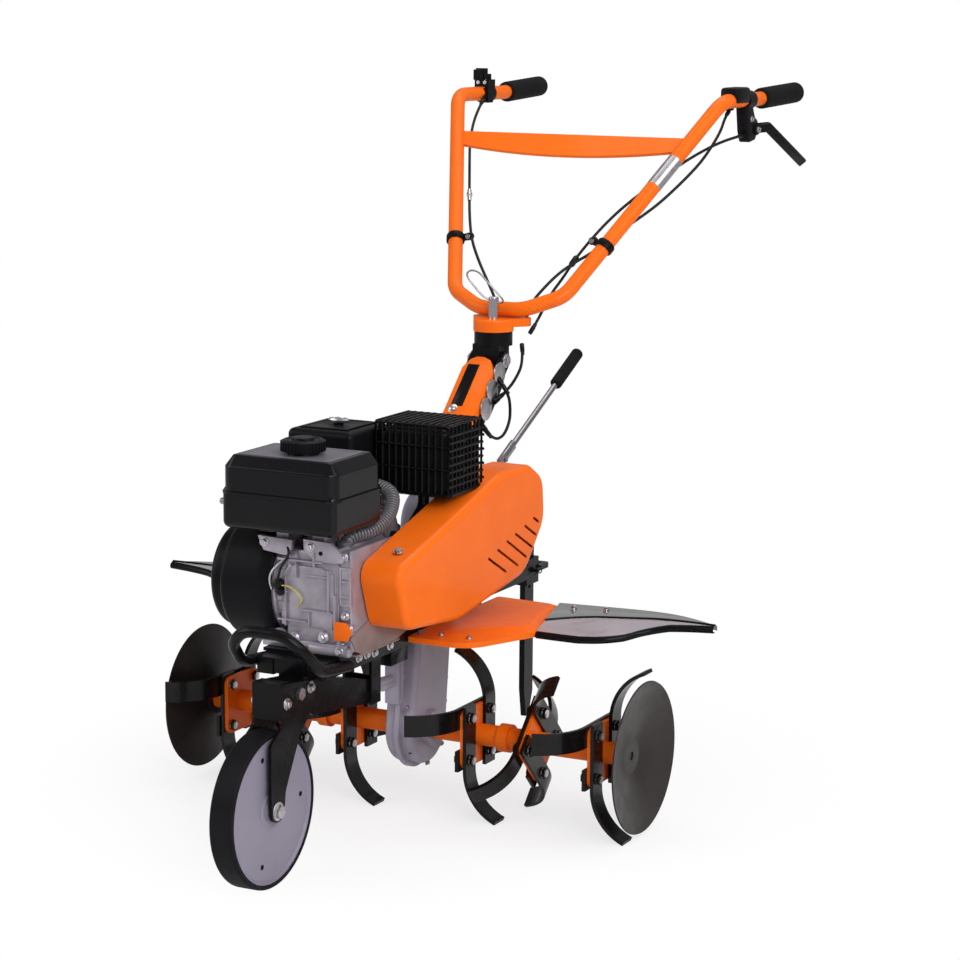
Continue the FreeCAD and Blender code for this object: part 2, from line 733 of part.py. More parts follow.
# ---------------------------------------------------------------- engine
def crankcase():
    """Cast block with side cover, feet, crankshaft boss, filler and drain plugs."""
    base = CRANK_Z - ENGINE_BASE
    y0 = CRANK_Y - BLOCK_HALF_Y
    y1 = CRANK_Y + BLOCK_HALF_Y
    seam = BLOCK_X1 - SIDE_COVER_T
    block = soft_box(BLOCK_X0, seam + 8.0, y0, y1, base + 12.0, CRANK_Z + BLOCK_TOP, 14.0)
    flange_top = CRANK_Z + BLOCK_TOP - 6.0
    flange_plate = soft_box(seam - 5.0, seam + 5.0, y0 - 9.0, y1 + 4.0, base + 8.0, flange_top, 4.0)
    cover = soft_box(seam, BLOCK_X1, y0 - 3.0, y1, base + 16.0, CRANK_Z + BLOCK_TOP - 12.0, 13.0)
    boss = cyl_x(BLOCK_X1 - 4.0, COVER_X0, CRANK_Y, CRANK_Z, CRANK_BOSS_R)
    foot = box(BLOCK_X0, BLOCK_X1 - 10.0, y0 + 4.0, y1 - 4.0, base, base + 24.0)
    barrel_front = cyl_between((-28.0, y0 - 14.0, CRANK_Z + 4.0), (-28.0, y0 + 6.0, CRANK_Z + 4.0), 60.0)
    filler = cyl_between((44.0, y0 - 26.0, base + 52.0), (44.0, y0 + 10.0, base + 44.0), 13.0)
    drain = cyl_between((8.0, y0 - 8.0, base + 16.0), (8.0, y0 + 6.0, base + 16.0), 9.0)
    stub = cyl_z(HOSE_POINTS[0][0], HOSE_POINTS[0][1], CRANK_Z + 40.0, HOSE_POINTS[0][2], HOSE_R - 2.0)
    stays = []
    for x in (-62.0, 12.0):
        stays.append(box(x, x + 26.0, CRANK_Y - 60.0, CRANK_Y - 20.0, CRANK_Z + 60.0, TANK_Z0))
    ribs = []
    for i in range(4):
        x = BLOCK_X0 + 16.0 + i * 26.0
        ribs.append(box(x, x + 4.0, y0 - 7.0, y0 + 10.0, base + 20.0, CRANK_Z - 36.0))
    return fused([block, flange_plate, cover, boss, foot, barrel_front, filler, drain, stub] + stays + ribs)


def cylinder_head():
    """Finned barrel leaning back, with the rocker cover at its end and the exhaust port at its side."""
    start = HEAD_START
    end = start + HEAD_LENGTH
    parts = [box(-78.0, 34.0, start, end, -44.0, 50.0)]
    fins = 7
    for i in range(fins):
        y = start + 12.0 + i * FIN_PITCH
        parts.append(box(-88.0, 44.0, y, y + FIN_T, -56.0, 60.0))
    parts.append(soft_box(-70.0, 26.0, end - 2.0, end + 36.0, -40.0, 46.0, 8.0))
    parts.append(box(34.0, 44.0 + PORT_T, start + 36.0, start + 80.0, -20.0, 24.0))
    body = fused(parts)
    body.translate(V(0, CRANK_Y, CRANK_Z))
    body.rotate(V(0, CRANK_Y, CRANK_Z), X_AXIS, HEAD_LEAN)
    block_back = CRANK_Y + BLOCK_HALF_Y + 6.0
    block_top = CRANK_Z + BLOCK_TOP + SKIN_GAP
    return body.cut(box(-200.0, 200.0, CRANK_Y - 200.0, block_back, CRANK_Z - 200.0, block_top))


def blower_housing():
    """Black fan shroud round the flywheel with the duct that leads up over the barrel."""
    drum = cyl_x(FAN_X0, BLOCK_X0 - SKIN_GAP, CRANK_Y, CRANK_Z, FAN_R)
    drum = rounded(drum, 12.0, lambda edge: abs(edge.CenterOfMass.x - FAN_X0) < 0.01)
    y0 = CRANK_Y - 40.0
    duct = prism_yz(
        [
            (y0, CRANK_Z + 60.0),
            (y0, CRANK_Z + 104.0),
            (CRANK_Y + 150.0, CRANK_Z + 118.0),
            (CRANK_Y + 150.0, CRANK_Z + 20.0),
            (CRANK_Y + 80.0, CRANK_Z),
        ],
        FAN_X0 + 12.0,
        BLOCK_X0 - SKIN_GAP,
    )
    return fused([drum, duct])


def recoil_starter():
    """Round starter cover on the flywheel side with its rope outlet."""
    disc = cyl_x(RECOIL_X0, FAN_X0, CRANK_Y, CRANK_Z, RECOIL_R)
    disc = rounded(disc, 14.0, lambda edge: abs(edge.CenterOfMass.x - RECOIL_X0) < 0.01)
    spout_end = CRANK_Y + SPOUT_REACH
    spout = box(RECOIL_X0 + 6.0, FAN_X0, CRANK_Y + 40.0, spout_end, CRANK_Z + 28.0, CRANK_Z + 62.0)
    return fused([disc, spout])


def pull_handle():
    """Grip of the starter rope."""
    y = CRANK_Y + SPOUT_REACH + PULL_R
    x = (RECOIL_X0 + 6.0 + FAN_X0) / 2.0
    grip_bar = cyl_z(x, y, CRANK_Z + 8.0, CRANK_Z + 82.0, PULL_R)
    return rounded(grip_bar, 3.0, lambda edge: True)


def fuel_tank():
    """Pressed steel tank with a rolled seam, bevelled shoulders and a filler neck."""
    x0 = TANK_X0 + TANK_SEAM
    x1 = TANK_X1 - TANK_SEAM
    y0 = TANK_Y0 + TANK_SEAM
    y1 = TANK_Y1 - TANK_SEAM
    lower = soft_box(x0, x1, y0, y1, TANK_Z0, TANK_SEAM_Z + 12.0, 12.0)
    shoulder_z = TANK_Z1 - TANK_CHAMFER
    outline = rectangle(x0, x1, y0, y1, TANK_CORNER)
    side = Part.Face(rounded_wire(outline, flat_in_xy(TANK_SEAM_Z)))
    wall = side.extrude(V(0, 0, shoulder_z - TANK_SEAM_Z))
    base = rounded_wire(outline, flat_in_xy(shoulder_z))
    top = rounded_wire(inset(outline, TANK_BEVEL), flat_in_xy(TANK_Z1))
    upper = wall.fuse(Part.makeLoft([base, top], True, True))
    upper = rounded(upper, TANK_SOFT, lambda edge: edge.BoundBox.ZMin > shoulder_z - 0.01
                    and edge.BoundBox.ZLength < 0.01)
    seam = Part.Face(rounded_wire(rectangle(TANK_X0, TANK_X1, TANK_Y0, TANK_Y1, TANK_CORNER + TANK_SEAM),
                                  flat_in_xy(TANK_SEAM_Z - 2.0))).extrude(V(0, 0, 4.0))
    neck = cyl_z(CAP_X, CAP_Y, TANK_Z1 - 2.0, TANK_Z1 + CAP_NECK, CAP_R - 8.0)
    return fused([lower, upper, seam, neck])


def cap_centre():
    """Plan position of the filler."""
    return (TANK_X0 + TANK_X1) / 2.0 - 4.0, (TANK_Y0 + TANK_Y1) / 2.0 - 6.0


def fuel_cap():
    """Ribbed screw cap."""
    z0 = TANK_Z1 + CAP_NECK
    cap = cyl_z(CAP_X, CAP_Y, z0, z0 + CAP_H, CAP_R)
    cap = rounded(cap, 5.0, lambda edge: edge.CenterOfMass.z > z0 + CAP_H / 2.0)
    for i in range(12):
        angle = math.radians(30.0 * i)
        cx = CAP_X + (CAP_R + 2.0) * math.cos(angle)
        cy = CAP_Y + (CAP_R + 2.0) * math.sin(angle)
        cap = cap.cut(cyl_z(cx, cy, TANK_Z1, TANK_Z1 + 2.0 * CAP_H, 5.0))
    return cap


def air_cleaner():
    """Box cover with a rounded lid and its elbow."""
    rim = CLEANER_RIM
    case = soft_box(CLEANER_X0, CLEANER_X1, CLEANER_Y0, CLEANER_Y1, CLEANER_Z0, CLEANER_Z1, 12.0)
    lid = box(CLEANER_X0 - rim, CLEANER_X1 + rim, CLEANER_Y0 - rim, CLEANER_Y1 + rim,
              CLEANER_Z0 + 44.0, CLEANER_Z0 + 49.0)
    lid = rounded(lid, 13.0, lambda edge: along(edge, Z_AXIS))
    x = (CLEANER_X0 + CLEANER_X1) / 2.0
    y = (CLEANER_Y0 + CLEANER_Y1) / 2.0
    knob = cyl_z(x, y, CLEANER_Z1 - 1.0, CLEANER_Z1 + 12.0, 9.0)
    leg = box(x - 24.0, x + 24.0, y - 30.0, y + 22.0, CLEANER_Z0 - 10.0, CLEANER_Z0 + 6.0)
    return fused([case, lid, knob, leg])


def muffler():
    """Sheet steel silencer box on its exhaust elbow, with an outlet and the posts of its guard."""
    case = soft_box(MUFFLER_X0, MUFFLER_X1, MUFFLER_Y0, MUFFLER_Y1, MUFFLER_Z0, MUFFLER_Z1, 12.0)
    z = (MUFFLER_Z0 + MUFFLER_Z1) / 2.0
    outlet_x = MUFFLER_X1 - 30.0
    outlet = cyl_between((outlet_x, MUFFLER_Y1 - 4.0, z), (outlet_x, MUFFLER_Y1 + 8.0, z), 10.0)
    port_x, port_y, port_z = port_centre()
    turn_x = port_x + 26.0
    top_y = MUFFLER_Y0 + 34.0
    elbow = rod(
        [
            (port_x, port_y, port_z),
            (turn_x, port_y, port_z),
            (turn_x, top_y, port_z + 46.0),
            (turn_x, top_y, MUFFLER_Z0 + 8.0),
        ],
        [14.0, 20.0],
        EXHAUST_R,
    )
    posts = []
    reach = GUARD_GAP - GUARD_WALL
    y = (MUFFLER_Y0 + MUFFLER_Y1) / 2.0
    for side_z in (MUFFLER_Z0 + 30.0, MUFFLER_Z1 - 24.0):
        posts.append(cyl_x(MUFFLER_X0 - reach, MUFFLER_X1 + reach, y, side_z, 5.0))
    return fused([case, outlet, elbow] + posts)


def muffler_guard():
    """Slotted heat guard over the top and the four sides of the silencer, notched over the belt cover."""
    g = GUARD_GAP
    x0 = MUFFLER_X0 - g
    x1 = MUFFLER_X1 + g
    y0 = MUFFLER_Y0 - g
    y1 = MUFFLER_Y1 + g
    z0 = MUFFLER_Z0 - GUARD_DROP
    z1 = MUFFLER_Z1 + g
    wall = GUARD_WALL
    shell = soft_box(x0, x1, y0, y1, z0 - 20.0, z1, 12.0)
    inner = soft_box(x0 + wall, x1 - wall, y0 + wall, y1 - wall, z0 - 30.0, z1 - wall, 10.0)
    shell = shell.cut(inner).cut(box(x0 - 5.0, x1 + 5.0, y0 - 5.0, y1 + 5.0, z0 - 40.0, z0))
    cutters = []
    opening = GUARD_PITCH - GUARD_BAR
    mid_x = (x0 + x1) / 2.0
    mid_y = (y0 + y1) / 2.0
    half_bar = 3.0
    edge = 16.0
    rows = int((z1 - z0 - 24.0) / GUARD_PITCH)
    for i in range(rows):
        z = z0 + 8.0 + i * GUARD_PITCH
        for a, b in ((x0 + edge, mid_x - half_bar), (mid_x + half_bar, x1 - edge)):
            cutters.append(box(a, b, y0 - 5.0, y1 + 5.0, z, z + opening))
        for a, b in ((y0 + edge, mid_y - half_bar), (mid_y + half_bar, y1 - edge)):
            cutters.append(box(x0 - 5.0, x1 + 5.0, a, b, z, z + opening))
    rows = int((x1 - x0 - 30.0) / GUARD_PITCH)
    for i in range(rows):
        x = x0 + edge + i * GUARD_PITCH
        for a, b in ((y0 + edge, mid_y - half_bar), (mid_y + half_bar, y1 - edge)):
            cutters.append(box(x, x + opening, a, b, z1 - 10.0, z1 + 5.0))
    shell = shell.cut(Part.makeCompound(cutters))
    return shell.cut(cover_solid(-GUARD_CLEAR, COVER_X0 - GUARD_CLEAR, COVER_X1 + GUARD_CLEAR))


# ---------------------------------------------------------------- belt drive
def belt_cover():
    """Orange pressed cover over both pulleys, with six slanted vents."""
    outer = cover_solid(0.0, COVER_X0, COVER_X1)
    outer = rounded(outer, COVER_SOFT, lambda edge: abs(edge.CenterOfMass.x - COVER_X1) < 0.01)
    inner_x = COVER_X1 - COVER_WALL
    inner = cover_solid(COVER_WALL, COVER_X0 - 1.0, inner_x)
    inner = rounded(inner, COVER_SOFT - COVER_WALL, lambda edge: abs(edge.CenterOfMass.x - inner_x) < 0.01)
    shell = outer.cut(inner)
    for low, high in COVER_SLOTS:
        shell = shell.cut(belt_prism(low, SLOT_R, high, SLOT_R, inner_x - 5.0, COVER_X1 + 5.0))
    return shell


def belt_back_plate():
    """Sheet that closes the cover towards the engine."""
    plate = cover_solid(COVER_WALL + SKIN_GAP, COVER_X0, COVER_X0 + BACK_PLATE_T)
    return plate.cut(cyl_x(COVER_X0 - 5.0, COVER_X0 + 10.0, CASE_TOP_Y, CASE_TOP_Z, INPUT_R + 4.0))


def pulley_big():
    """Input pulley on the chain case, with its shaft."""
    x0 = COVER_X0 + BACK_PLATE_T + PULLEY_OFFSET
    wheel = cyl_x(x0, x0 + PULLEY_T, CASE_TOP_Y, CASE_TOP_Z, PULLEY_BIG_R)
    shaft = cyl_x(CASE_T / 2.0, x0 + PULLEY_T + 8.0, CASE_TOP_Y, CASE_TOP_Z, INPUT_R)
    return fused([wheel, shaft])


# ---------------------------------------------------------------- frame
def engine_frame():
    """Rails that clasp the chain case, the engine's seat plate, cross members and the front wheel's beam."""
    top = RAIL_TOP_Z
    parts = []
    for side in (-1, 1):
        x0 = side * RAIL_X - RAIL_W / 2.0
        x1 = side * RAIL_X + RAIL_W / 2.0
        rail = box(x0, x1, RAIL_Y0, RAIL_Y1, RAIL_LOW_Z, top)
        hollow = box(x0 + RAIL_WALL, x1 - RAIL_WALL, RAIL_Y0 - 1.0, RAIL_Y1 + 1.0,
                     RAIL_LOW_Z + RAIL_WALL, top - RAIL_WALL)
        parts.append(rail.cut(hollow))
        strap_x = side * (BEAM_HALF + STRAP_T / 2.0)
        parts.append(box(strap_x - STRAP_T / 2.0, strap_x + STRAP_T / 2.0,
                         BEAM_REAR_Y - 4.0, BEAM_REAR_Y - 4.0 + STRAP_L, 252.0, top))
    y0 = CRANK_Y - BLOCK_HALF_Y - 10.0
    y1 = CRANK_Y + BLOCK_HALF_Y + 10.0
    parts.append(box(-RAIL_OUT_X - 12.0, RAIL_OUT_X + 6.0, y0, y1, top, top + PLATE_T))
    inner = RAIL_IN_X
    parts.append(box(-inner, inner, RAIL_Y1 - 20.0, RAIL_Y1, RAIL_LOW_Z, top))
    parts.append(box(-inner, inner, BEAM_REAR_Y - 4.0, BEAM_REAR_Y - 4.0 + STRAP_L, RAIL_LOW_Z, top))
    parts.append(box(-inner, inner, RAIL_Y0, RAIL_Y0 + 50.0, ARM_TOP_Z - 4.0, top))
    parts.append(box(-BEAM_HALF, BEAM_HALF, RAIL_Y0, RAIL_Y0 + 50.0, PIVOT_Z, ARM_TOP_Z))
    end_plate_y = BEAM_REAR_Y - 4.0 + STRAP_L
    parts.append(box(-BEAM_HALF, BEAM_HALF, end_plate_y - 5.0, end_plate_y, 252.0, 300.0))
    body = fused(parts + wheel_beam())
    return body.cut(cyl_x(-BEAM_HALF - 5.0, BEAM_HALF + 5.0, PIVOT_Y, PIVOT_Z, PIVOT_R + PRESS_GAP))


def front_bumper():
    """Bent tube loop in front of the engine."""
    top = RAIL_TOP_Z
    x = RAIL_OUT_X + SKIN_GAP + BUMPER_R
    half = [
        (x, RAIL_Y0 + 65.0, top - 15.0),
        (x, PIVOT_Y - 6.0, top - 5.0),
        (x - 8.0, PIVOT_Y - 50.0, top + 40.0),
        (40.0, PIVOT_Y - 63.0, top + 68.0),
    ]
    left = [(-px, py, pz) for px, py, pz in half]
    return rod(left + half[::-1], [60.0, 50.0, 48.0, 48.0, 50.0, 60.0], BUMPER_R)


def stake_holder():
    """Square drawbar behind the chain case with the socket of the depth stake and the hitch lug."""
    z0 = RAIL_LOW_Z
    sx = STAKE_T / 2.0 + STAKE_GAP
    sy = STAKE_W / 2.0 + STAKE_GAP
    wall = SOCKET_WALL
    bar = box(-16.0, 16.0, RAIL_Y1, STAKE_Y - sy, z0, RAIL_TOP_Z)
    y0 = STAKE_Y - sy - wall
    y1 = STAKE_Y + sy + wall
    socket = box(-sx - wall, sx + wall, y0, y1, z0 - 14.0, RAIL_TOP_Z + 10.0)
    lug = box(-20.0, 20.0, STAKE_Y + sy + wall - 1.0, HITCH_Y + 18.0, z0 + 10.0, z0 + 10.0 + HITCH_T)
    lug = rounded(lug, 12.0, lambda edge: along(edge, Z_AXIS) and edge.CenterOfMass.y > HITCH_Y)
    lug = lug.cut(cyl_z(0, HITCH_Y, z0 - 1.0, RAIL_TOP_Z + 1.0, HITCH_R))
    body = fused([bar, socket, lug])
    return body.cut(box(-sx, sx, STAKE_Y - sy, STAKE_Y + sy, z0 - 30.0, RAIL_TOP_Z + 30.0))


def depth_stake():
    """Flat bar with adjusting holes and a pointed, curved foot."""
    y0 = STAKE_Y - STAKE_W / 2.0
    y1 = STAKE_Y + STAKE_W / 2.0
    outline = [
        (y0, STAKE_TOP_Z),
        (y0, STAKE_LOW_Z + 60.0),
        (y0 + 10.0, STAKE_LOW_Z),
        (y0 + 22.0, STAKE_LOW_Z),
        (y1, STAKE_LOW_Z + 50.0),
        (y1, STAKE_TOP_Z),
    ]
    bar = prism_yz(outline, -STAKE_T / 2.0, STAKE_T / 2.0)
    for i in range(3):
        z = STAKE_TOP_Z - 16.0 - i * STAKE_HOLE_PITCH
        bar = bar.cut(cyl_x(-STAKE_T, STAKE_T, STAKE_Y, z, STAKE_HOLE_R))
    return bar


# ---------------------------------------------------------------- front wheel
def wheel_arm():
    """Folding fork: two tapered plates, tied by a front plate and a short lid."""
    outline = [
        (ARM_FRONT_Y, ARM_TOP_Z, 4.0),
        (ARM_FRONT_Y, ARM_TOP_Z - 76.0, 10.0),
        (WHEEL_Y - 21.0, ARM_TOP_Z - 100.0, 12.0),
        (WHEEL_Y - 21.0, WHEEL_R - 20.0, 20.0),
        (WHEEL_Y + 21.0, WHEEL_R - 20.0, 20.0),
        (WHEEL_Y + 27.0, WHEEL_R + 30.0, 40.0),
        (PIVOT_Y + 8.0, ARM_TOP_Z - 100.0, 20.0),
        (PIVOT_Y + 56.0, ARM_TOP_Z - 62.0, 12.0),
        (PIVOT_Y + 60.0, ARM_TOP_Z - 14.0, 8.0),
    ]
    plates = []
    for x0 in (-ARM_OUT_X, ARM_IN_X):
        face = Part.Face(rounded_wire(outline, flat_in_yz(x0)))
        plates.append(face.extrude(V(ARM_PLATE_T, 0, 0)))
    reach = ARM_IN_X + 1.0
    front = box(-reach, reach, ARM_FRONT_Y, ARM_FRONT_Y + ARM_PLATE_T, ARM_TOP_Z - 66.0, ARM_TOP_Z - 5.0)
    lid = box(-reach, reach, ARM_FRONT_Y + 5.0, ARM_FRONT_Y + 26.0, ARM_TOP_Z - ARM_PLATE_T, ARM_TOP_Z)
    corner = box(-reach, reach, ARM_FRONT_Y, ARM_FRONT_Y + ARM_PLATE_T + 1.0,
                 ARM_TOP_Z - ARM_PLATE_T - 1.0, ARM_TOP_Z)
    body = fused(plates + [front, lid, corner])
    body = body.cut(cyl_x(-60.0, 60.0, PIVOT_Y, PIVOT_Z, PIVOT_R + RUN_FIT))
    return body.cut(cyl_x(-60.0, 60.0, WHEEL_Y, WHEEL_R, WHEEL_AXLE_R + PRESS_GAP))


def arm_pivot_bolt():
    """Bolt through the fork and the beam's nose."""
    gap = SIDE_GAP
    shank = cyl_x(-ARM_OUT_X - gap, ARM_OUT_X + gap, PIVOT_Y, PIVOT_Z, PIVOT_R)
    head = hexagon_x(ARM_OUT_X + gap, ARM_OUT_X + gap + 8.0, PIVOT_Y, PIVOT_Z, 10.0)
    nut = hexagon_x(-ARM_OUT_X - gap - 9.0, -ARM_OUT_X - gap, PIVOT_Y, PIVOT_Z, 10.0)
    return fused([shank, head, nut])


def wheel_axle():
    """Axle bolt through the fork."""
    shank = cyl_x(-ARM_OUT_X, ARM_OUT_X, WHEEL_Y, WHEEL_R, WHEEL_AXLE_R)
    head = hexagon_x(ARM_OUT_X, ARM_OUT_X + 7.0, WHEEL_Y, WHEEL_R, 11.0)
    nut = hexagon_x(-ARM_OUT_X - 9.0, -ARM_OUT_X, WHEEL_Y, WHEEL_R, 11.0)
    return fused([shank, head, nut])


def wheel_disc():
    """Pressed wheel body: rolled rim, flat recessed web and hub tube."""
    rim_r = WHEEL_R - TYRE_BAND
    half = WHEEL_W / 2.0 - 2.0
    web = half - 4.0
    side = [
        (half, rim_r),
        (half, rim_r - 3.0),
        (web, rim_r - 7.0),
        (web, 34.0),
        (web + 2.0, 30.0),
        (web + 2.0, WHEEL_HUB_R),
        (half + 3.0 - SIDE_GAP, WHEEL_HUB_R),
        (half + 3.0 - SIDE_GAP, WHEEL_AXLE_R + RUN_FIT),
    ]
    other = [(-x, r) for x, r in reversed(side)]
    loop = [V(x, WHEEL_Y, WHEEL_R + r) for x, r in side + other]
    face = Part.Face(Part.makePolygon(loop + loop[:1]))
    return face.revolve(V(0, WHEEL_Y, WHEEL_R), X_AXIS, 360)


def tyre():
    """Plain solid rubber tyre."""
    half = WHEEL_W / 2.0
    ring = cyl_x(-half, half, WHEEL_Y, WHEEL_R, WHEEL_R)
    ring = ring.makeFillet(5.0, [edge for edge in ring.Edges if isinstance(edge.Curve, Part.Circle)])
    return ring.cut(cyl_x(-half - 1.0, half + 1.0, WHEEL_Y, WHEEL_R, WHEEL_R - TYRE_BAND + PRESS_GAP))


# ---------------------------------------------------------------- fenders
def fender_inner():
    """Orange inner guard over the tines, right-hand side."""
    return pressed_sheet(INNER_EDGE, INNER_FOLD)


def fender_outer():
    """Black outer extension that climbs to a narrow tip, right-hand side."""
    sheet = pressed_sheet(OUTER_EDGE, OUTER_FOLD)
    hinge_x = OUTER_EDGE[-1][0]
    sheet.rotate(V(hinge_x, 0, FENDER_EDGE_Z), Y_AXIS, -OUTER_TILT)
    join = prism_xy(
        [
            (INNER_EDGE[2][0] + SKIN_GAP, INNER_EDGE[2][1] - 60.0),
            (INNER_EDGE[2][0] + SKIN_GAP, INNER_EDGE[2][1]),
            (INNER_EDGE[3][0] + SKIN_GAP, INNER_EDGE[3][1]),
            (INNER_EDGE[3][0] + SKIN_GAP, INNER_EDGE[3][1] + 60.0),
            (0.0, 300.0),
            (0.0, -200.0),
        ],
        FENDER_EDGE_Z - 100.0,
        FENDER_EDGE_Z + 100.0,
    )
    return sheet.cut(join)


# ---------------------------------------------------------------- column and head
def column_core():
    """Black box-section steering column with its foot on the chain case, cheeks and cable glands."""
    run = math.dist(COLUMN_KNEE, COLUMN_END)
    half = COLUMN_H / 2.0
    w = COLUMN_W / 2.0
    back = 48.0
    body = on_upper_run(box(-w, w, -back, run, -half, half))
    foot = box(-CASE_T / 2.0, CASE_T / 2.0, CASE_TOP_Y - 30.0, CASE_TOP_Y + 70.0,
               CASE_TOP_Z + CASE_TOP_R - 34.0, CASE_TOP_Z + CASE_TOP_R + 6.0)
    cheeks = []
    for x0 in (-w - CHEEK_T, w):
        tip = cyl_x(x0, x0 + CHEEK_T, HEIGHT_PIVOT_Y, HEIGHT_PIVOT_Z, CHEEK_R)
        plate = on_upper_run(box(x0, x0 + CHEEK_T, run - 70.0, run + 2.0, -half, half - COVER_LIP - 2.0))
        link = belt_prism(COLUMN_END, half - 8.0, (HEIGHT_PIVOT_Y, HEIGHT_PIVOT_Z), CHEEK_R, x0, x0 + CHEEK_T)
        cheeks.extend([tip, plate, link])
    glands = []
    for route in (CABLE_LOOP, CABLE_LOOP[::-1], CABLE_DROP[::-1]):
        into = V(*route[0]).sub(V(*route[1])).normalize()
        root = V(*route[0]).add(V(into).multiply(GLAND_L - GLAND_R))
        glands.append(cable_gland(route))
        half_stub = GLAND_R - 1.5
        glands.append(box(w - 2.0, root.x, root.y - half_stub, root.y + half_stub,
                          root.z - half_stub, root.z + half_stub))
    top_r = CASE_TOP_R + SKIN_GAP
    case_top = belt_prism((0.0, AXLE_Z), CASE_LOW_R, (CASE_TOP_Y, CASE_TOP_Z), top_r, -60.0, 60.0)
    cover_room = on_upper_run(cover_block(SKIN_GAP))
    column = fused([body, foot]).cut(case_top)
    result = fused([column, fused(cheeks).cut(cover_room)])
    bored = result.cut(cyl_x(-60.0, 60.0, HEIGHT_PIVOT_Y, HEIGHT_PIVOT_Z, HEIGHT_BOLT_R + PRESS_GAP))
    return fused([bored] + glands)


def handle_head():
    """Black head block: a tongue between the column cheeks and the round swivel housing."""
    reach = COLUMN_W / 2.0 - SIDE_GAP
    eye = cyl_x(-reach, reach, HEIGHT_PIVOT_Y, HEIGHT_PIVOT_Z, CHEEK_R)
    neck = box(-reach, reach, HEIGHT_PIVOT_Y - CHEEK_R, HEIGHT_PIVOT_Y + CHEEK_R + 10.0,
               HEIGHT_PIVOT_Z + 4.0, HEAD_LOW_Z + 4.0)
    post = cyl_z(0, SWIVEL_Y, HEAD_LOW_Z, HEAD_TOP_Z, HEAD_R)
    body = fused([eye, neck, post])
    body = body.cut(cyl_x(-60.0, 60.0, HEIGHT_PIVOT_Y, HEIGHT_PIVOT_Z, HEIGHT_BOLT_R + RUN_FIT))
    return body.cut(cyl_z(0, SWIVEL_Y, HEAD_LOW_Z + 4.0, HEAD_TOP_Z + 1.0, SWIVEL_R + RUN_FIT))


def height_bolt():
    """Bolt that the head tilts on."""
    reach = COLUMN_W / 2.0 + CHEEK_T
    shank = cyl_x(-reach, reach, HEIGHT_PIVOT_Y, HEIGHT_PIVOT_Z, HEIGHT_BOLT_R)
    head = hexagon_x(reach, reach + 6.0, HEIGHT_PIVOT_Y, HEIGHT_PIVOT_Z, 9.0)
    nut = hexagon_x(-reach - 9.0, -reach, HEIGHT_PIVOT_Y, HEIGHT_PIVOT_Z, 9.0)
    return fused([shank, head, nut])


def handle_clamp():
    """Orange cup that turns on the head, with the gusset that carries the handlebar."""
    z0 = HEAD_TOP_Z + SKIN_GAP
    cup = cyl_z(0, SWIVEL_Y, z0, CUP_TOP_Z, CUP_R)
    cup = rounded(cup, 5.0, lambda edge: abs(edge.CenterOfMass.z - CUP_TOP_Z) < 0.01)
    tube_y = BAR_BOTTOM[1]
    gusset = prism_xy(
        [
            (-CUP_R + 8.0, SWIVEL_Y),
            (CUP_R - 8.0, SWIVEL_Y),
            (62.0, tube_y + 2.0),
            (58.0, tube_y + 24.0),
            (-58.0, tube_y + 24.0),
            (-62.0, tube_y + 2.0),
        ],
        z0 + 8.0,
        CUP_TOP_Z,
    )
    gusset = rounded(gusset, 8.0, lambda edge: along(edge, Z_AXIS) and edge.CenterOfMass.y > SWIVEL_Y + 10.0)
    plate = fused([cup, gusset])
    return plate.cut(cyl_z(0, SWIVEL_Y, z0 - 1.0, CUP_TOP_Z + 1.0, SWIVEL_R + PRESS_GAP))


def clamp_bolt():
    """Chrome swivel bolt with its tall sleeve nut."""
    shank = cyl_z(0, SWIVEL_Y, HEAD_LOW_Z + 10.0, SLEEVE_TOP_Z - 6.0, SWIVEL_R)
    sleeve = cyl_z(0, SWIVEL_Y, CUP_TOP_Z, SLEEVE_TOP_Z, SLEEVE_R)
    sleeve = rounded(sleeve, 2.0, lambda edge: abs(edge.CenterOfMass.z - SLEEVE_TOP_Z) < 0.01)
    return fused([shank, sleeve])


def handlebar_points():
    """Centre line from the left grip end to the right grip end."""
    right = [BAR_BOTTOM, BAR_LOW, BAR_TOP, BAR_GRIP, BAR_END]
    left = [(-x, y, z) for x, y, z in reversed(right)]
    return left + right


def handlebar_tube():
    """One bent steel tube, open between its two arms."""
    return rod(handlebar_points(), HANDLEBAR_RADII, TUBE_BAR_R, TUBE_BAR_WALL)


def bar_direction(a, b):
    """Unit vector from one centre-line point to the next."""
    return V(*b).sub(V(*a)).normalize()


def grip():
    """Foam grip pushed over the right-hand end of the handlebar."""
    along_bar = bar_direction(BAR_GRIP, BAR_END)
    bend = bar_direction(BAR_TOP, BAR_GRIP).getAngle(along_bar)
    bend_end = BAR_GRIP_BEND * math.tan(bend / 2.0)
    start = V(*BAR_GRIP).add(V(along_bar).multiply(bend_end + GRIP_GAP))
    end = V(*BAR_END)
    length = end.sub(start).Length
    body = Part.makeCylinder(GRIP_R, length + GRIP_CAP, start, along_bar)
    circles = [edge for edge in body.Edges if isinstance(edge.Curve, Part.Circle)]
    body = body.makeFillet(TUBE_BAR_R * 0.4, circles)
    return body.cut(Part.makeCylinder(TUBE_BAR_R + PRESS_GAP, length, start, along_bar))


def arm_point(share, off_x=0.0):
    """Point on the straight stretch of the right arm, share 0 at the low bend and 1 at the top bend."""
    return tuple(a + share * (b - a) + (off_x if i == 0 else 0.0)
                 for i, (a, b) in enumerate(zip(BAR_LOW, BAR_TOP)))


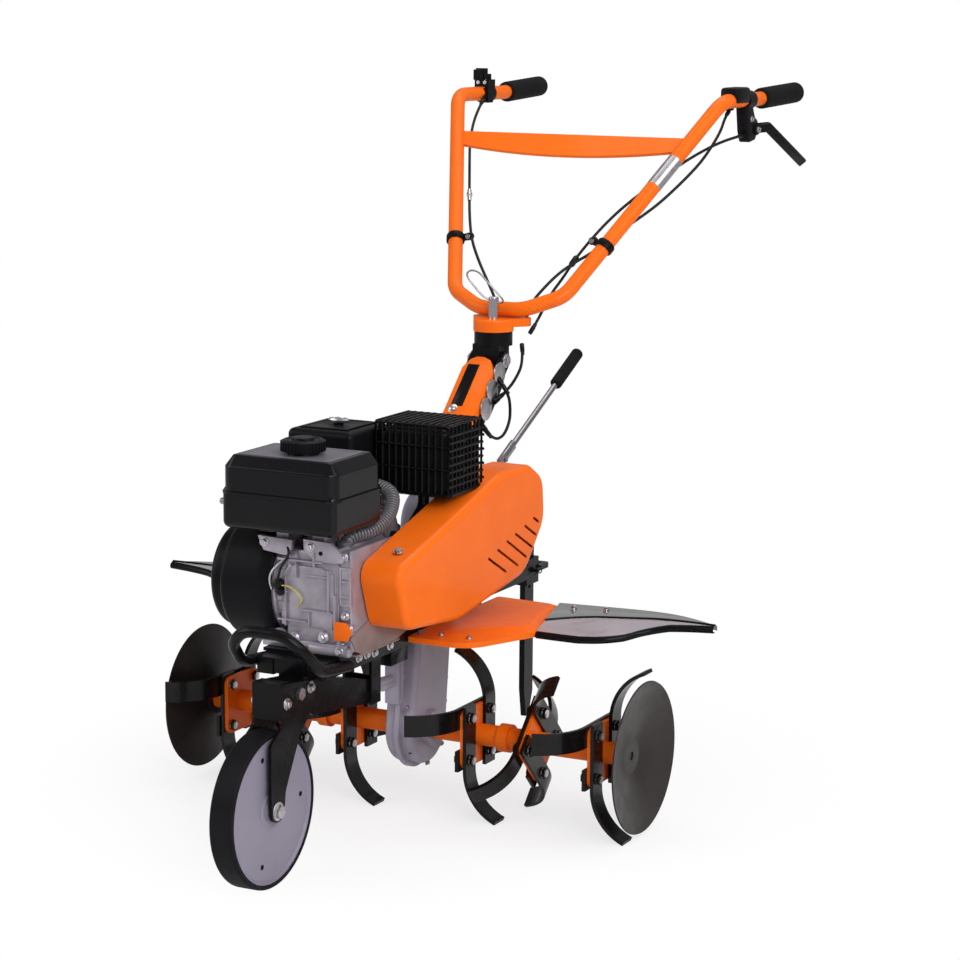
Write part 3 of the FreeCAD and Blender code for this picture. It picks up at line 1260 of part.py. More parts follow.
def crossbar():
    """Pressed sheet bridge between the two arms, deeper at its middle."""
    top = arm_point(CROSSBAR_SHARE)
    slope = bar_direction(BAR_LOW, BAR_TOP)
    in_yz = V(0, slope.y, slope.z).normalize()
    depth = CROSSBAR_DEPTH
    half_top = top[0] - TUBE_BAR_R + 1.0
    low_half = half_top - (depth - 12.0) * slope.x / V(0, slope.y, slope.z).Length
    base = V(0, top[1], top[2])

    def at(x, down):
        point = base.sub(V(in_yz).multiply(down))
        return V(x, point.y, point.z)

    edges = [
        Part.LineSegment(at(-half_top, 0.0), at(half_top, 0.0)).toShape(),
        Part.LineSegment(at(half_top, 0.0), at(low_half, depth - 12.0)).toShape(),
        Part.Arc(at(low_half, depth - 12.0), at(0.0, depth + 8.0), at(-low_half, depth - 12.0)).toShape(),
        Part.LineSegment(at(-low_half, depth - 12.0), at(-half_top, 0.0)).toShape(),
    ]
    face = Part.Face(Part.Wire(edges))
    normal = V(0, -in_yz.z, in_yz.y)
    face.translate(V(normal).multiply(-CROSSBAR_T / 2.0))
    sheet = face.extrude(V(normal).multiply(CROSSBAR_T))
    return sheet.cut(handlebar_envelope(PRESS_GAP))


def gear_lever():
    """Chrome shift rod that leaves the top of the chain case."""
    return cyl_between(LEVER_FOOT, LEVER_TOP, LEVER_R)


def gear_lever_grip():
    """Black rubber grip at the end of the shift rod."""
    axis = bar_direction(LEVER_FOOT, LEVER_TOP)
    cap = 22.0
    start = V(*LEVER_TOP).sub(V(axis).multiply(LEVER_GRIP_L - cap))
    body = Part.makeCylinder(LEVER_GRIP_R, LEVER_GRIP_L, start, axis)
    body = body.makeFillet(5.0, [edge for edge in body.Edges if isinstance(edge.Curve, Part.Circle)])
    return body.cut(Part.makeCylinder(LEVER_R + PRESS_GAP, LEVER_GRIP_L - cap, start, axis))


def on_upper_run(shape):
    """Move a shape drawn along +Y onto the column's upper run."""
    a, b = COLUMN_KNEE, COLUMN_END
    base = V(0, a[0], a[1])
    shape.translate(base)
    shape.rotate(base, X_AXIS, math.degrees(math.atan2(b[1] - a[1], b[0] - a[0])))
    return shape


def cover_block(grow):
    """Envelope of the column cover, grown outwards by the given amount."""
    length = math.dist(COLUMN_KNEE, COLUMN_END)
    half = COLUMN_H / 2.0
    x = COLUMN_W / 2.0 + SKIN_GAP + COVER_SHELL + grow
    top = half + COVER_SHELL + SKIN_GAP + grow
    return box(-x, x, -22.0 - grow, length + COVER_REACH + grow, half - COVER_LIP - grow, top)


def column_cover():
    """Orange channel over the top of the column, narrowed to a nose at its upper end."""
    length = math.dist(COLUMN_KNEE, COLUMN_END)
    half = COLUMN_H / 2.0
    inner = COLUMN_W / 2.0 + SKIN_GAP
    hollow = box(-inner, inner, -40.0, length + COVER_REACH + 10.0, half - COVER_LIP - 1.0, half + SKIN_GAP)
    shell = cover_block(0.0).cut(hollow)
    wide = inner + COVER_SHELL + 1.0
    for side in (-1, 1):
        wedge = prism_xy(
            [
                (side * wide, length + COVER_REACH + 1.0),
                (side * wide, length + COVER_REACH - COVER_NOSE),
                (side * (wide - COVER_NOSE / 2.0), length + COVER_REACH + 1.0),
            ],
            half - COVER_LIP - 5.0,
            half + COVER_SHELL + 5.0,
        )
        shell = shell.cut(wedge)
    return on_upper_run(shell)


def rounded_wire(corners, place):
    """Closed wire through corners (u, v, radius); place turns a (u, v) pair into a vector."""
    count = len(corners)
    arcs = []
    for i, (u, v, radius) in enumerate(corners):
        before = corners[i - 1]
        after = corners[(i + 1) % count]
        into = V(u - before[0], v - before[1], 0).normalize()
        out = V(after[0] - u, after[1] - v, 0).normalize()
        turn = into.getAngle(out)
        back = radius * math.tan(turn / 2.0)
        depth = radius * (1.0 / math.cos(turn / 2.0) - 1.0)
        corner = V(u, v, 0)
        start = corner.sub(V(into).multiply(back))
        end = corner.add(V(out).multiply(back))
        middle = corner.add(V(out).sub(into).normalize().multiply(depth))
        arcs.append([place(p.x, p.y) for p in (start, middle, end)])
    edges = []
    for i, arc in enumerate(arcs):
        edges.append(Part.Arc(*arc).toShape())
        edges.append(Part.LineSegment(arc[2], arcs[(i + 1) % count][0]).toShape())
    return Part.Wire(edges)


def flat_in_yz(x):
    """Placer for outlines given as (y, z) at one x."""
    return lambda y, z: V(x, y, z)


def flat_in_xy(z):
    """Placer for outlines given as (x, y) at one z."""
    return lambda x, y: V(x, y, z)


def port_centre():
    """Centre of the exhaust port's outer face."""
    lean = math.radians(HEAD_LEAN)
    along_barrel = HEAD_START + 58.0
    y = CRANK_Y + along_barrel * math.cos(lean) - 2.0 * math.sin(lean)
    z = CRANK_Z + along_barrel * math.sin(lean) + 2.0 * math.cos(lean)
    return 44.0 + PORT_T, y, z


def rectangle(x0, x1, y0, y1, radius):
    """Corners of a rounded rectangle, for rounded_wire."""
    return [(x0, y0, radius), (x1, y0, radius), (x1, y1, radius), (x0, y1, radius)]


def cover_solid(shrink, x0, x1):
    """Belt cover body between two planes, shrunk inwards by the given amount."""
    face = Part.Face(rounded_wire(COVER_CORNERS, flat_in_yz(x0)))
    if shrink != 0.0:
        face = face.makeOffset2D(-shrink)
    return face.extrude(V(x1 - x0, 0, 0))


def intake_hose():
    """Corrugated breather hose, drawn as its outer tube, from the crankcase round to the air cleaner."""
    return rod(HOSE_POINTS, HOSE_RADII, HOSE_R)


def wheel_beam():
    """Closed beam under the front of the frame: nose round the fork's pivot, then down to the rear strap."""
    nose = cyl_x(-BEAM_HALF, BEAM_HALF, PIVOT_Y, PIVOT_Z, BEAM_NOSE_R)
    body = prism_yz(
        [
            (PIVOT_Y, PIVOT_Z + BEAM_NOSE_R),
            (BEAM_KNEE_Y, PIVOT_Z + BEAM_NOSE_R),
            (BEAM_REAR_Y, 298.0),
            (BEAM_REAR_Y, 254.0),
            (BEAM_KNEE_Y, 281.0),
            (PIVOT_Y + 22.0, 300.0),
            (PIVOT_Y, PIVOT_Z - BEAM_NOSE_R),
        ],
        -BEAM_HALF,
        BEAM_HALF,
    )
    return [nose, body]


def pressing(edge_outline, fold_outline, lip):
    """Hat-shaped solid: a lip, sloping skirts and a raised flat, drawn with its edge at FENDER_EDGE_Z."""
    low = rounded_wire(edge_outline, flat_in_xy(FENDER_EDGE_Z))
    high = rounded_wire(fold_outline, flat_in_xy(FENDER_EDGE_Z + FENDER_RISE))
    hat = Part.makeLoft([low, high], True, True)
    band = Part.Face(rounded_wire(edge_outline, flat_in_xy(FENDER_EDGE_Z - lip))).extrude(V(0, 0, lip))
    return hat.fuse(band)


def inset(outline, amount):
    """Outline moved inwards: each corner goes along its bisector, its rounding shrinks with it."""
    count = len(outline)
    result = []
    for i, (u, v, radius) in enumerate(outline):
        before = outline[i - 1]
        after = outline[(i + 1) % count]
        into = V(u - before[0], v - before[1], 0).normalize()
        out = V(after[0] - u, after[1] - v, 0).normalize()
        half_turn = into.getAngle(out) / 2.0
        bisector = V(out).sub(into).normalize()
        shift = bisector.multiply(amount / math.cos(half_turn))
        result.append((u + shift.x, v + shift.y, max(radius - amount, 0.5)))
    return result


def pressed_sheet(edge_outline, fold_outline):
    """Open-bottomed sheet metal hat of even thickness."""
    outer = pressing(edge_outline, fold_outline, FENDER_LIP)
    core = pressing(inset(edge_outline, FENDER_T), inset(fold_outline, FENDER_T), FENDER_LIP + 5.0)
    core.translate(V(0, 0, -FENDER_T))
    return outer.cut(core).removeSplitter()


def handlebar_envelope(gap):
    """Solid rod along the whole handlebar, larger than the tube by the given gap."""
    path = bent_path(handlebar_points(), HANDLEBAR_RADII)
    start = V(*handlebar_points()[0])
    ring = Part.Wire(Part.makeCircle(TUBE_BAR_R + gap, start, V(*handlebar_points()[1]).sub(start)))
    return path.makePipe(Part.Face(ring))


def bar_height(y):
    """Height of the handlebar's centre line on the run between the top bend and the grip bend."""
    share = (y - BAR_TOP[1]) / (BAR_GRIP[1] - BAR_TOP[1])
    return BAR_TOP[2] + share * (BAR_GRIP[2] - BAR_TOP[2])


def bar_side(y):
    """Sideways place of the handlebar's centre line on that same run."""
    share = (y - BAR_TOP[1]) / (BAR_GRIP[1] - BAR_TOP[1])
    return BAR_TOP[0] + share * (BAR_GRIP[0] - BAR_TOP[0])


def cable_gland(route):
    """Collar that takes an end of a cable into its control or the column."""
    into = V(*route[0]).sub(V(*route[1])).normalize()
    return Part.makeCylinder(GLAND_R, GLAND_L, V(*route[0]), into)


def control_port(y, port):
    """Mouth of a control's cable gland, on the right-hand arm."""
    dx, dy, dz = port
    return (bar_side(y) + dx, y + dy, bar_height(y) + dz)


def throttle_route():
    """Throttle cable's points, from its control on the left arm."""
    x, y, z = control_port(THROTTLE_Y, THROTTLE_PORT)
    return [(-x, y, z)] + CABLE_THROTTLE


def reverse_route():
    """Reverse cable's points, from the switch block."""
    return [control_port(CLUTCH_Y, REVERSE_PORT)] + CABLE_REVERSE


def clutch_route():
    """Clutch cable's points, from the lever's housing."""
    return [control_port(CLUTCH_Y, CLUTCH_PORT)] + CABLE_CLUTCH


def throttle_clamp():
    """Throttle control on the left arm: a clamp band and a stacked body with its two thumb levers."""
    x = bar_side(THROTTLE_Y)
    z = bar_height(THROTTLE_Y)
    r = TUBE_BAR_R + CLAMP_WALL
    band = cyl_between((x, THROTTLE_Y - 16.0, z), (x, THROTTLE_Y + 16.0, z), r)
    body = box(x - 17.0, x + 17.0, THROTTLE_Y - 18.0, THROTTLE_Y + 14.0, z + 8.0, z + 30.0)
    pivot = cyl_z(x, THROTTLE_Y - 2.0, z + 24.0, z + 42.0, 14.0)
    lever = box(x - 5.0, x + 5.0, THROTTLE_Y - 44.0, THROTTLE_Y, z + 34.0, z + 38.0)
    thumb = cyl_z(x, THROTTLE_Y - 42.0, z + 30.0, z + 52.0, 7.0)
    second = box(x - 4.0, x + 22.0, THROTTLE_Y - 4.0, THROTTLE_Y + 4.0, z + 38.0, z + 54.0)
    ear = box(x - 22.0, x - 8.0, THROTTLE_Y - 30.0, THROTTLE_Y - 6.0, z - 19.0, z + 12.0)
    control = mirrored(fused([band, body, pivot, lever, thumb, second, ear]))
    return fused([control, cable_gland(throttle_route())]).cut(handlebar_envelope(PRESS_GAP))


def clutch_clamp():
    """Clutch control on the right arm: switch block on the tube and the lever's housing hanging below it."""
    y = CLUTCH_Y
    x = bar_side(y)
    z = bar_height(y)
    r = TUBE_BAR_R + CLAMP_WALL
    block = soft_box(x - 21.0, x + 21.0, y - 66.0, y + 38.0, z - 6.0, z + 29.0, 8.0)
    band = cyl_between((x, y + 10.0, z), (x, y + 54.0, z), r)
    housing = prism_yz(
        [
            (y + 6.0, z - 6.0),
            (y + 62.0, z - 6.0),
            (y + 112.0, z - 44.0),
            (y + 118.0, z - 78.0),
            (y + 34.0, z - 88.0),
            (y + 19.0, z - 64.0),
        ],
        x - 14.0,
        x + 14.0,
    )
    housing = rounded(housing, 5.0, lambda edge: along(edge, X_AXIS))
    ear = box(x - 22.0, x - 8.0, y - 34.0, y - 12.0, z - 19.0, z + 4.0)
    glands = [cable_gland(reverse_route()), cable_gland(clutch_route())]
    return fused([block, band, housing, ear] + glands).cut(handlebar_envelope(PRESS_GAP))


def clutch_lever():
    """Black clutch lever, swung outwards below the right-hand grip."""
    y = CLUTCH_Y
    x = bar_side(y)
    z = bar_height(y)
    root = (x + 14.0 + SKIN_GAP, y + 96.0, z - 58.0)
    knuckle = (x + 30.0, y + 138.0, z - 62.0)
    tip = (x + 46.0, y + 262.0, z - 142.0)
    blade = rod([(root[0] + 8.0, root[1], root[2]), knuckle, tip], [30.0], 7.5)
    eye = cyl_x(root[0], root[0] + 14.0, root[1], root[2], 12.0)
    return fused([eye, blade])


def cable_throttle():
    """Throttle cable down the left arm to the back of the orange cup."""
    return cord("cable_throttle", throttle_route(), CABLE_R)


def cable_reverse():
    """Cable from the switch block, behind the right arm and across to the head."""
    return cord("cable_reverse", reverse_route(), CABLE_R)


def cable_clutch():
    """Cable from the clutch housing, behind the right arm and down to the head."""
    return cord("cable_clutch", clutch_route(), CABLE_R)


def cable_drop():
    """Short cable from the head's side into the column."""
    return cord("cable_drop", CABLE_DROP, CABLE_R)


def cable_loop():
    """Cable that hangs in a loop beside the column."""
    return cord("cable_loop", CABLE_LOOP, CABLE_R)


def main():
    """Build every node and write its STEP file."""
    os.makedirs("parts", exist_ok=True)
    nodes = {
        "tine_axle": tine_axle(),
        "tine_carrier_left": carrier(-1),
        "tine_carrier_right": carrier(1),
        "plant_disc_left": mirrored(plant_disc()),
        "plant_disc_right": plant_disc(),
        "gearcase": gearcase(),
        "crankcase": crankcase(),
        "cylinder_head": cylinder_head(),
        "blower_housing": blower_housing(),
        "recoil_starter": recoil_starter(),
        "pull_handle": pull_handle(),
        "fuel_tank": fuel_tank(),
        "fuel_cap": fuel_cap(),
        "air_cleaner": air_cleaner(),
        "muffler": muffler(),
        "muffler_guard": muffler_guard(),
        "belt_cover": belt_cover(),
        "belt_back_plate": belt_back_plate(),
        "pulley_big": pulley_big(),
        "engine_frame": engine_frame(),
        "front_bumper": front_bumper(),
        "stake_holder": stake_holder(),
        "depth_stake": depth_stake(),
        "wheel_arm": wheel_arm(),
        "arm_pivot_bolt": arm_pivot_bolt(),
        "wheel_axle": wheel_axle(),
        "wheel_disc": wheel_disc(),
        "tyre": tyre(),
        "fender_inner_right": fender_inner(),
        "fender_inner_left": mirrored(fender_inner()),
        "fender_outer_right": fender_outer(),
        "fender_outer_left": mirrored(fender_outer()),
        "column_core": column_core(),
        "handle_head": handle_head(),
        "height_bolt": height_bolt(),
        "handle_clamp": handle_clamp(),
        "clamp_bolt": clamp_bolt(),
        "handlebar_tube": handlebar_tube(),
        "crossbar": crossbar(),
        "grip_right": grip(),
        "grip_left": mirrored(grip()),
        "gear_lever": gear_lever(),
        "gear_lever_grip": gear_lever_grip(),
        "column_cover": column_cover(),
        "intake_hose": intake_hose(),
        "throttle_clamp": throttle_clamp(),
        "clutch_clamp": clutch_clamp(),
        "clutch_lever": clutch_lever(),
        "cable_throttle": cable_throttle(),
        "cable_reverse": cable_reverse(),
        "cable_clutch": cable_clutch(),
        "cable_drop": cable_drop(),
        "cable_loop": cable_loop(),
    }
    for index in range(3):
        x = FLANGE_X1 + index * FLANGE_PITCH
        nodes[f"tine_set_right_{index + 1}"] = tine_set(x, index)
        nodes[f"tine_set_left_{index + 1}"] = outboard_tine_set(-x) if index == 2 else tine_set(-x, index)
    for name, shape in nodes.items():
        shape.translate(V(0, -ORIGIN_Y, 0))
        if not shape.isValid():
            print("not valid:", name)
        shape.exportStep(f"parts/{name}.step")
        b = shape.BoundBox
        print(f"{name}: solids {len(shape.Solids)} x {b.XMin:.1f}..{b.XMax:.1f} "
              f"y {b.YMin:.1f}..{b.YMax:.1f} z {b.ZMin:.1f}..{b.ZMax:.1f}")


main()
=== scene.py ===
"""Rotary tiller: finishes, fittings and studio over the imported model."""

import logging
import math
from dataclasses import dataclass, field
from enum import Enum
from typing import Callable, Iterable, Sequence

import bmesh
import bpy
from mathutils import Matrix, Vector


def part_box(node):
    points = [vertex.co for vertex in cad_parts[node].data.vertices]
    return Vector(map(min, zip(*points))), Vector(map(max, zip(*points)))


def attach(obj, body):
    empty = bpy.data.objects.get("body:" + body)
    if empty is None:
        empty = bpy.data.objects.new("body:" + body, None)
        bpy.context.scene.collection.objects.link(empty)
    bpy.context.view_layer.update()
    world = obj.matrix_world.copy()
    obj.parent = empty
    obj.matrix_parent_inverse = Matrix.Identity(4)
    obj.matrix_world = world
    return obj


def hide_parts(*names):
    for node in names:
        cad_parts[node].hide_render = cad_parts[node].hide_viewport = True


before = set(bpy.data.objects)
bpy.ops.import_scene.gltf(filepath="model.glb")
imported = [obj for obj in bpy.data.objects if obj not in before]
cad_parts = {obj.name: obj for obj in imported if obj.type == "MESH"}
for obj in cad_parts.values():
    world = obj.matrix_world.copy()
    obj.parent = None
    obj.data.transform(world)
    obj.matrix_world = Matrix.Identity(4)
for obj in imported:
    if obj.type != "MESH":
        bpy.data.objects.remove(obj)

Object = bpy.types.Object
Node = bpy.types.Node
Socket = bpy.types.NodeSocket
Point = tuple[float, float, float]
Pair = tuple[float, float]
Line = tuple[Point, ...]
LOG = logging.getLogger("tiller")
MM = 0.001
X_AXIS = Vector((1, 0, 0))
Y_AXIS = Vector((0, 1, 0))
Z_AXIS = Vector((0, 0, 1))
SIDES = ((1, "right"), (-1, "left"))
OUTLINE_TO_SIDE = Matrix(((0, 0, 1, 0), (1, 0, 0, 0), (0, 1, 0, 0), (0, 0, 0, 1)))
"""Stands a plate drawn in (back, up) on the machine's side, its thickness going outwards."""


# ---------------------------------------------------------------- finishes


class Wires:
    """A node tree with short ways to add, set and link its nodes."""

    def __init__(self, owner: bpy.types.Material | bpy.types.World) -> None:
        """Turn the owner's nodes on and keep its tree."""
        owner.use_nodes = True
        self.tree = owner.node_tree

    def set(self, node: Node, values: dict[str | int, object], links: dict[str | int, Socket] | None = None) -> Node:
        """Set and link inputs of a node.

        Args:
            node: the node.
            values: fixed inputs, by name or number.
            links: sockets that feed inputs, by name or number.

        Returns:
            The node.
        """
        for name, value in values.items():
            node.inputs[name].default_value = value
        for name, socket in (links or {}).items():
            self.tree.links.new(socket, node.inputs[name])
        return node

    def add(self, kind: str, values: dict[str | int, object] | None = None,
            links: dict[str | int, Socket] | None = None, **options: object) -> Node:
        """Add a node; the arguments are those of set, and options are the node's own settings."""
        node = self.tree.nodes.new(f"ShaderNode{kind}")
        for name, value in options.items():
            setattr(node, name, value)
        return self.set(node, values or {}, links)


@dataclass(frozen=True)
class Finish:
    """A surface finish that builds its own node material.

    The tone is a slow drift of the colour, the sheen drift a slow change of the
    roughness, and the grain a fine relief.
    """

    name: str
    slot: str
    colour: Point
    roughness: float
    metallic: float = 0
    coat: float = 0
    tone: float = 0.05
    tone_scale: float = 9
    drift: float = 0.06
    grain_mm: float = 0.02
    grain_scale: float = 900
    specular: float = 0.3
    coat_roughness: float = 0.06
    handling_scale: float = 34
    relief_strength: float = 0.5

    def material(self) -> bpy.types.Material:
        """Return the finish's material, built once and then shared."""
        known = bpy.data.materials.get(self.name)
        if known is not None:
            return known
        made = bpy.data.materials.new(self.name)
        wires = Wires(made)
        place = wires.add("TexCoord").outputs["Object"]
        wires.set(wires.tree.nodes["Principled BSDF"], {
            "Metallic": self.metallic, "Specular IOR Level": self.specular,
            "Coat Weight": self.coat, "Coat Roughness": self.coat_roughness,
        }, {
            "Base Color": self.tint(wires, place),
            "Roughness": self.sheen(wires, place),
            "Normal": self.relief(wires, place),
        })
        return made

    def noise(self, wires: Wires, place: Socket, scale: float, detail: float) -> Socket:
        """Add a noise texture on object coordinates.

        Args:
            wires: the material's nodes.
            place: its object coordinates.
            scale: repeats per metre.
            detail: octaves of finer noise.

        Returns:
            The socket of its strength.
        """
        return wires.add("TexNoise", {"Scale": scale, "Detail": detail}, {"Vector": place}).outputs["Fac"]

    def tint(self, wires: Wires, place: Socket) -> Socket:
        """Drift the colour slowly over the surface."""
        slow = self.noise(wires, place, self.tone_scale, 3)
        ramp = wires.add("ValToRGB", {}, {"Fac": slow})
        ends = ((0.32, 1 - self.tone), (0.68, 1 + self.tone))
        for element, (position, level) in zip(ramp.color_ramp.elements, ends):
            element.position = position
            element.color = (*(min(value * level, 1) for value in self.colour), 1)
        return ramp.outputs["Color"]

    def sheen(self, wires: Wires, place: Socket) -> Socket:
        """Drift the roughness, so that gloss isn't even."""
        handled = self.noise(wires, place, self.handling_scale, 5)
        return wires.add("MapRange", {
            "From Min": 0.3, "From Max": 0.7,
            "To Min": max(self.roughness - self.drift, 0.03), "To Max": self.roughness + self.drift,
        }, {"Value": handled}).outputs["Result"]

    def height(self, wires: Wires, place: Socket) -> Socket:
        """Height of the surface's fine grain."""
        return self.noise(wires, place, self.grain_scale, 2)

    def relief(self, wires: Wires, place: Socket) -> Socket:
        """Raise the grain."""
        values = {"Strength": self.relief_strength, "Distance": self.grain_mm * MM}
        return wires.add("Bump", values, {"Height": self.height(wires, place)}).outputs["Normal"]


@dataclass(frozen=True)
class Casting(Finish):
    """Sand or die cast metal: grainy, with small pits."""

    pit_scale: float = 420
    relief_strength: float = 0.6

    def height(self, wires: Wires, place: Socket) -> Socket:
        """Height of the cast grain with its pits."""
        pits = wires.add("TexVoronoi", {"Scale": self.pit_scale}, {"Vector": place}).outputs["Distance"]
        grain = self.noise(wires, place, self.grain_scale, 4)
        return wires.add("Math", {}, {0: pits, 1: grain}, operation="ADD").outputs["Value"]


@dataclass(frozen=True)
class Worked(Finish):
    """Paint on a tool, with a trace of dry soil in patches."""

    soil: Point = (0.09, 0.06, 0.04)
    soil_amount: float = 0.16
    soil_scale: float = 26

    def tint(self, wires: Wires, place: Socket) -> Socket:
        """Lay thin soil over the drifting colour."""
        paint = super().tint(wires, place)
        patch = self.noise(wires, place, self.soil_scale, 8)
        cut = wires.add("MapRange", {"From Min": 0.56, "From Max": 0.74, "To Max": self.soil_amount}, {"Value": patch})
        mix = wires.add("Mix", {"B": (*self.soil, 1)}, {"Factor": cut.outputs["Result"], "A": paint}, data_type="RGBA")
        return mix.outputs["Result"]


class Coat(Enum):
    """Every finish on the tiller."""

    ORANGE = Finish("orange_powder_coat", "orange_paint", (0.80, 0.134, 0.006), 0.38, specular=0.08, coat=0.12,
                    tone=0.04, grain_mm=0.012, grain_scale=420)
    BLACK = Finish("black_powder_coat", "black_paint", (0.0042, 0.004, 0.0048), 0.26, coat=0.06, tone=0.2,
                   grain_scale=420, specular=0.09)
    TANK = Finish("black_tank_enamel", "black_paint", (0.0035, 0.0034, 0.0045), 0.2, coat=0.12, tone=0.15,
                  grain_mm=0.012, drift=0.04, specular=0.12)
    # painted reflection: the black tank's top is given this grey to stand for the light it reflects
    PANEL = Finish("tank_top_painted_reflection", "black_paint", (0.125, 0.115, 0.14), 0.38, tone=0.12, grain_mm=0.04,
                   grain_scale=1400)
    TINE = Worked("black_tine_paint", "tine_steel", (0.0042, 0.004, 0.0042), 0.26, coat=0.1, tone=0.2,
                  grain_mm=0.03, grain_scale=500, specular=0.16, soil_amount=0.06)
    DISC = Worked("brown_black_enamel", "disc_enamel", (0.016, 0.011, 0.0108), 0.36, tone=0.15, grain_mm=0.01,
                  soil_amount=0.04, specular=0.18)
    GREY = Casting("grey_case_paint", "grey_paint", (0.29, 0.265, 0.33), 0.34, grain_mm=0.08, grain_scale=500)
    RIM = Finish("grey_rim_paint", "grey_paint", (0.215, 0.195, 0.255), 0.34, coat=0.1, tone=0.04, grain_mm=0.03,
                 grain_scale=420)
    FENDER = Finish("grey_black_gloss", "black_paint", (0.065, 0.06, 0.072), 0.13, coat=1, tone=0.06,
                    grain_scale=420, specular=0.5)
    # painted reflection: the grey-black gloss fender's flank is painted light grey for the light it reflects
    FLANK = Finish("fender_flank_painted_reflection", "black_paint", (0.34, 0.315, 0.35), 0.14, coat=0.8, tone=0.06,
                   grain_scale=420)
    # painted highlight: the black plastic hose is painted grey so that its ribs show light while in shade
    HOSE = Finish("ribbed_hose_painted_highlight", "black_plastic", (0.10, 0.096, 0.105), 0.3, tone=0.1, grain_mm=0.03, specular=0.6)
    CAST = Casting("bare_cast_alloy", "cast_aluminium", (0.35, 0.318, 0.37), 0.36, metallic=0.62, tone=0.14,
                   tone_scale=30, grain_mm=0.14, grain_scale=700)
    ZINC = Finish("zinc_plate", "bright_steel", (0.52, 0.505, 0.53), 0.3, metallic=1, tone=0.08, tone_scale=60)
    STEEL = Finish("drawn_steel", "bright_steel", (0.30, 0.285, 0.31), 0.28, metallic=1, tone=0.1, tone_scale=40)
    CHROME = Finish("polished_chrome", "chrome", (0.62, 0.61, 0.64), 0.12, metallic=1, tone=0.03, grain_mm=0.005,
                    drift=0.03)
    PLASTIC = Finish("moulded_black_plastic", "black_plastic", (0.0045, 0.0042, 0.0055), 0.36, specular=0.08,
                     tone=0.15, grain_mm=0.05, grain_scale=1600)
    SHEATH = Finish("black_cable_sheath", "black_plastic", (0.005, 0.005, 0.006), 0.36, specular=0.2, tone=0.15,
                    grain_mm=0.03)
    TYRE = Finish("tread_rubber", "tyre_rubber", (0.0065, 0.006, 0.0075), 0.5, specular=0.08, tone=0.2,
                  tone_scale=20, grain_mm=0.06, grain_scale=1100)
    FOAM = Casting("foam_grip", "foam_rubber", (0.0045, 0.0045, 0.0055), 0.82, specular=0.15, tone=0.2,
                   grain_mm=0.28, pit_scale=700)
    YELLOW = Finish("yellow_wire", "black_plastic", (0.55, 0.42, 0.05), 0.4, tone=0.06, grain_scale=1200)
    PLATE = Finish("brown_side_plate", "bright_steel", (0.24, 0.17, 0.16), 0.4, metallic=0.3, tone=0.1,
                   tone_scale=30, grain_mm=0.05)
    # painted shade: flat black for the inside of holes and behind the guard's wires
    HOLLOW = Finish("shadowed_hollow", "black_paint", (0.004, 0.004, 0.004), 0.7, tone=0.1, grain_mm=0.05,
                    specular=0.1)


NODE_COATS: dict[Coat, tuple[str, ...]] = {
    Coat.ORANGE: ("tine_carrier_left", "tine_carrier_right", "belt_cover", "fender_inner_left",
                  "fender_inner_right", "handle_clamp", "handlebar_tube", "crossbar", "column_cover"),
    Coat.BLACK: ("engine_frame", "front_bumper", "stake_holder", "depth_stake", "wheel_arm", "fender_outer_left",
                 "fender_outer_right", "column_core", "handle_head", "muffler_guard", "belt_back_plate",
                 "muffler", "clutch_lever"),
    Coat.TANK: ("fuel_tank",),
    Coat.GREY: ("gearcase",),
    Coat.RIM: ("wheel_disc",),
    Coat.CAST: ("crankcase", "cylinder_head"),
    Coat.ZINC: ("tine_axle", "arm_pivot_bolt", "wheel_axle", "height_bolt", "pulley_big"),
    Coat.CHROME: ("clamp_bolt",),
    Coat.STEEL: ("gear_lever",),
    Coat.PLASTIC: ("blower_housing", "recoil_starter", "pull_handle", "fuel_cap", "air_cleaner",
                   "throttle_clamp", "clutch_clamp", "intake_hose"),
    Coat.SHEATH: ("cable_throttle", "cable_reverse", "cable_clutch", "cable_drop", "cable_loop"),
    Coat.TYRE: ("tyre",),
    Coat.FOAM: ("grip_left", "grip_right", "gear_lever_grip"),
    Coat.DISC: ("plant_disc_left", "plant_disc_right"),
}
"""Finishes of the CAD nodes; the sets of tine bars take what is left."""


# ---------------------------------------------------------------- bench


def site(x: float, y: float, z: float) -> Vector:
    """Place given in millimetres from the ground under the tine axle.

    Args:
        x: to the belt cover's side.
        y: back from the tine axle.
        z: up from the ground.

    Returns:
        The point in the model's frame, in metres.
    """
    low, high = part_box("tine_axle")
    return Vector((x * MM, y * MM + (low[1] + high[1]) / 2, z * MM))


def middle(node: str) -> Vector:
    """Centre of a CAD node's box, in metres."""
    return Vector([(low + high) / 2 for low, high in zip(*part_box(node))])


def sites(points: Iterable[Point]) -> list[Vector]:
    """Points of the frame, in metres, from places in millimetres."""
    return [site(*point) for point in points]


def moved(point: Vector) -> Matrix:
    """Matrix that only carries a piece to a point."""
    return Matrix.Translation(point)


def facing(point: Vector, axis: Sequence[float], turn: float = 0) -> Matrix:
    """Matrix that sets a piece modelled on +Z at a point, looking along an axis.

    Args:
        point: where the piece's origin goes, in metres.
        axis: direction of its +Z.
        turn: turn about that direction, in degrees.

    Returns:
        The 4 x 4 matrix.
    """
    look = Vector(axis).to_track_quat("Z", "Y").to_matrix().to_4x4()
    return moved(point) @ look @ Matrix.Rotation(math.radians(turn), 4, "Z")


def seated(point: Vector, axis: Vector, toward: Sequence[float]) -> Matrix:
    """Matrix that sets a piece's +Z along an axis, with its +X leaning toward a direction.

    Args:
        point: where the piece's origin goes, in metres.
        axis: direction of its +Z.
        toward: direction that its +X faces as nearly as it can.

    Returns:
        The 4 x 4 matrix.
    """
    up = axis.normalized()
    across = Vector(toward)
    across = (across - up * across.dot(up)).normalized()
    return moved(point) @ Matrix((across, up.cross(across), up)).transposed().to_4x4()


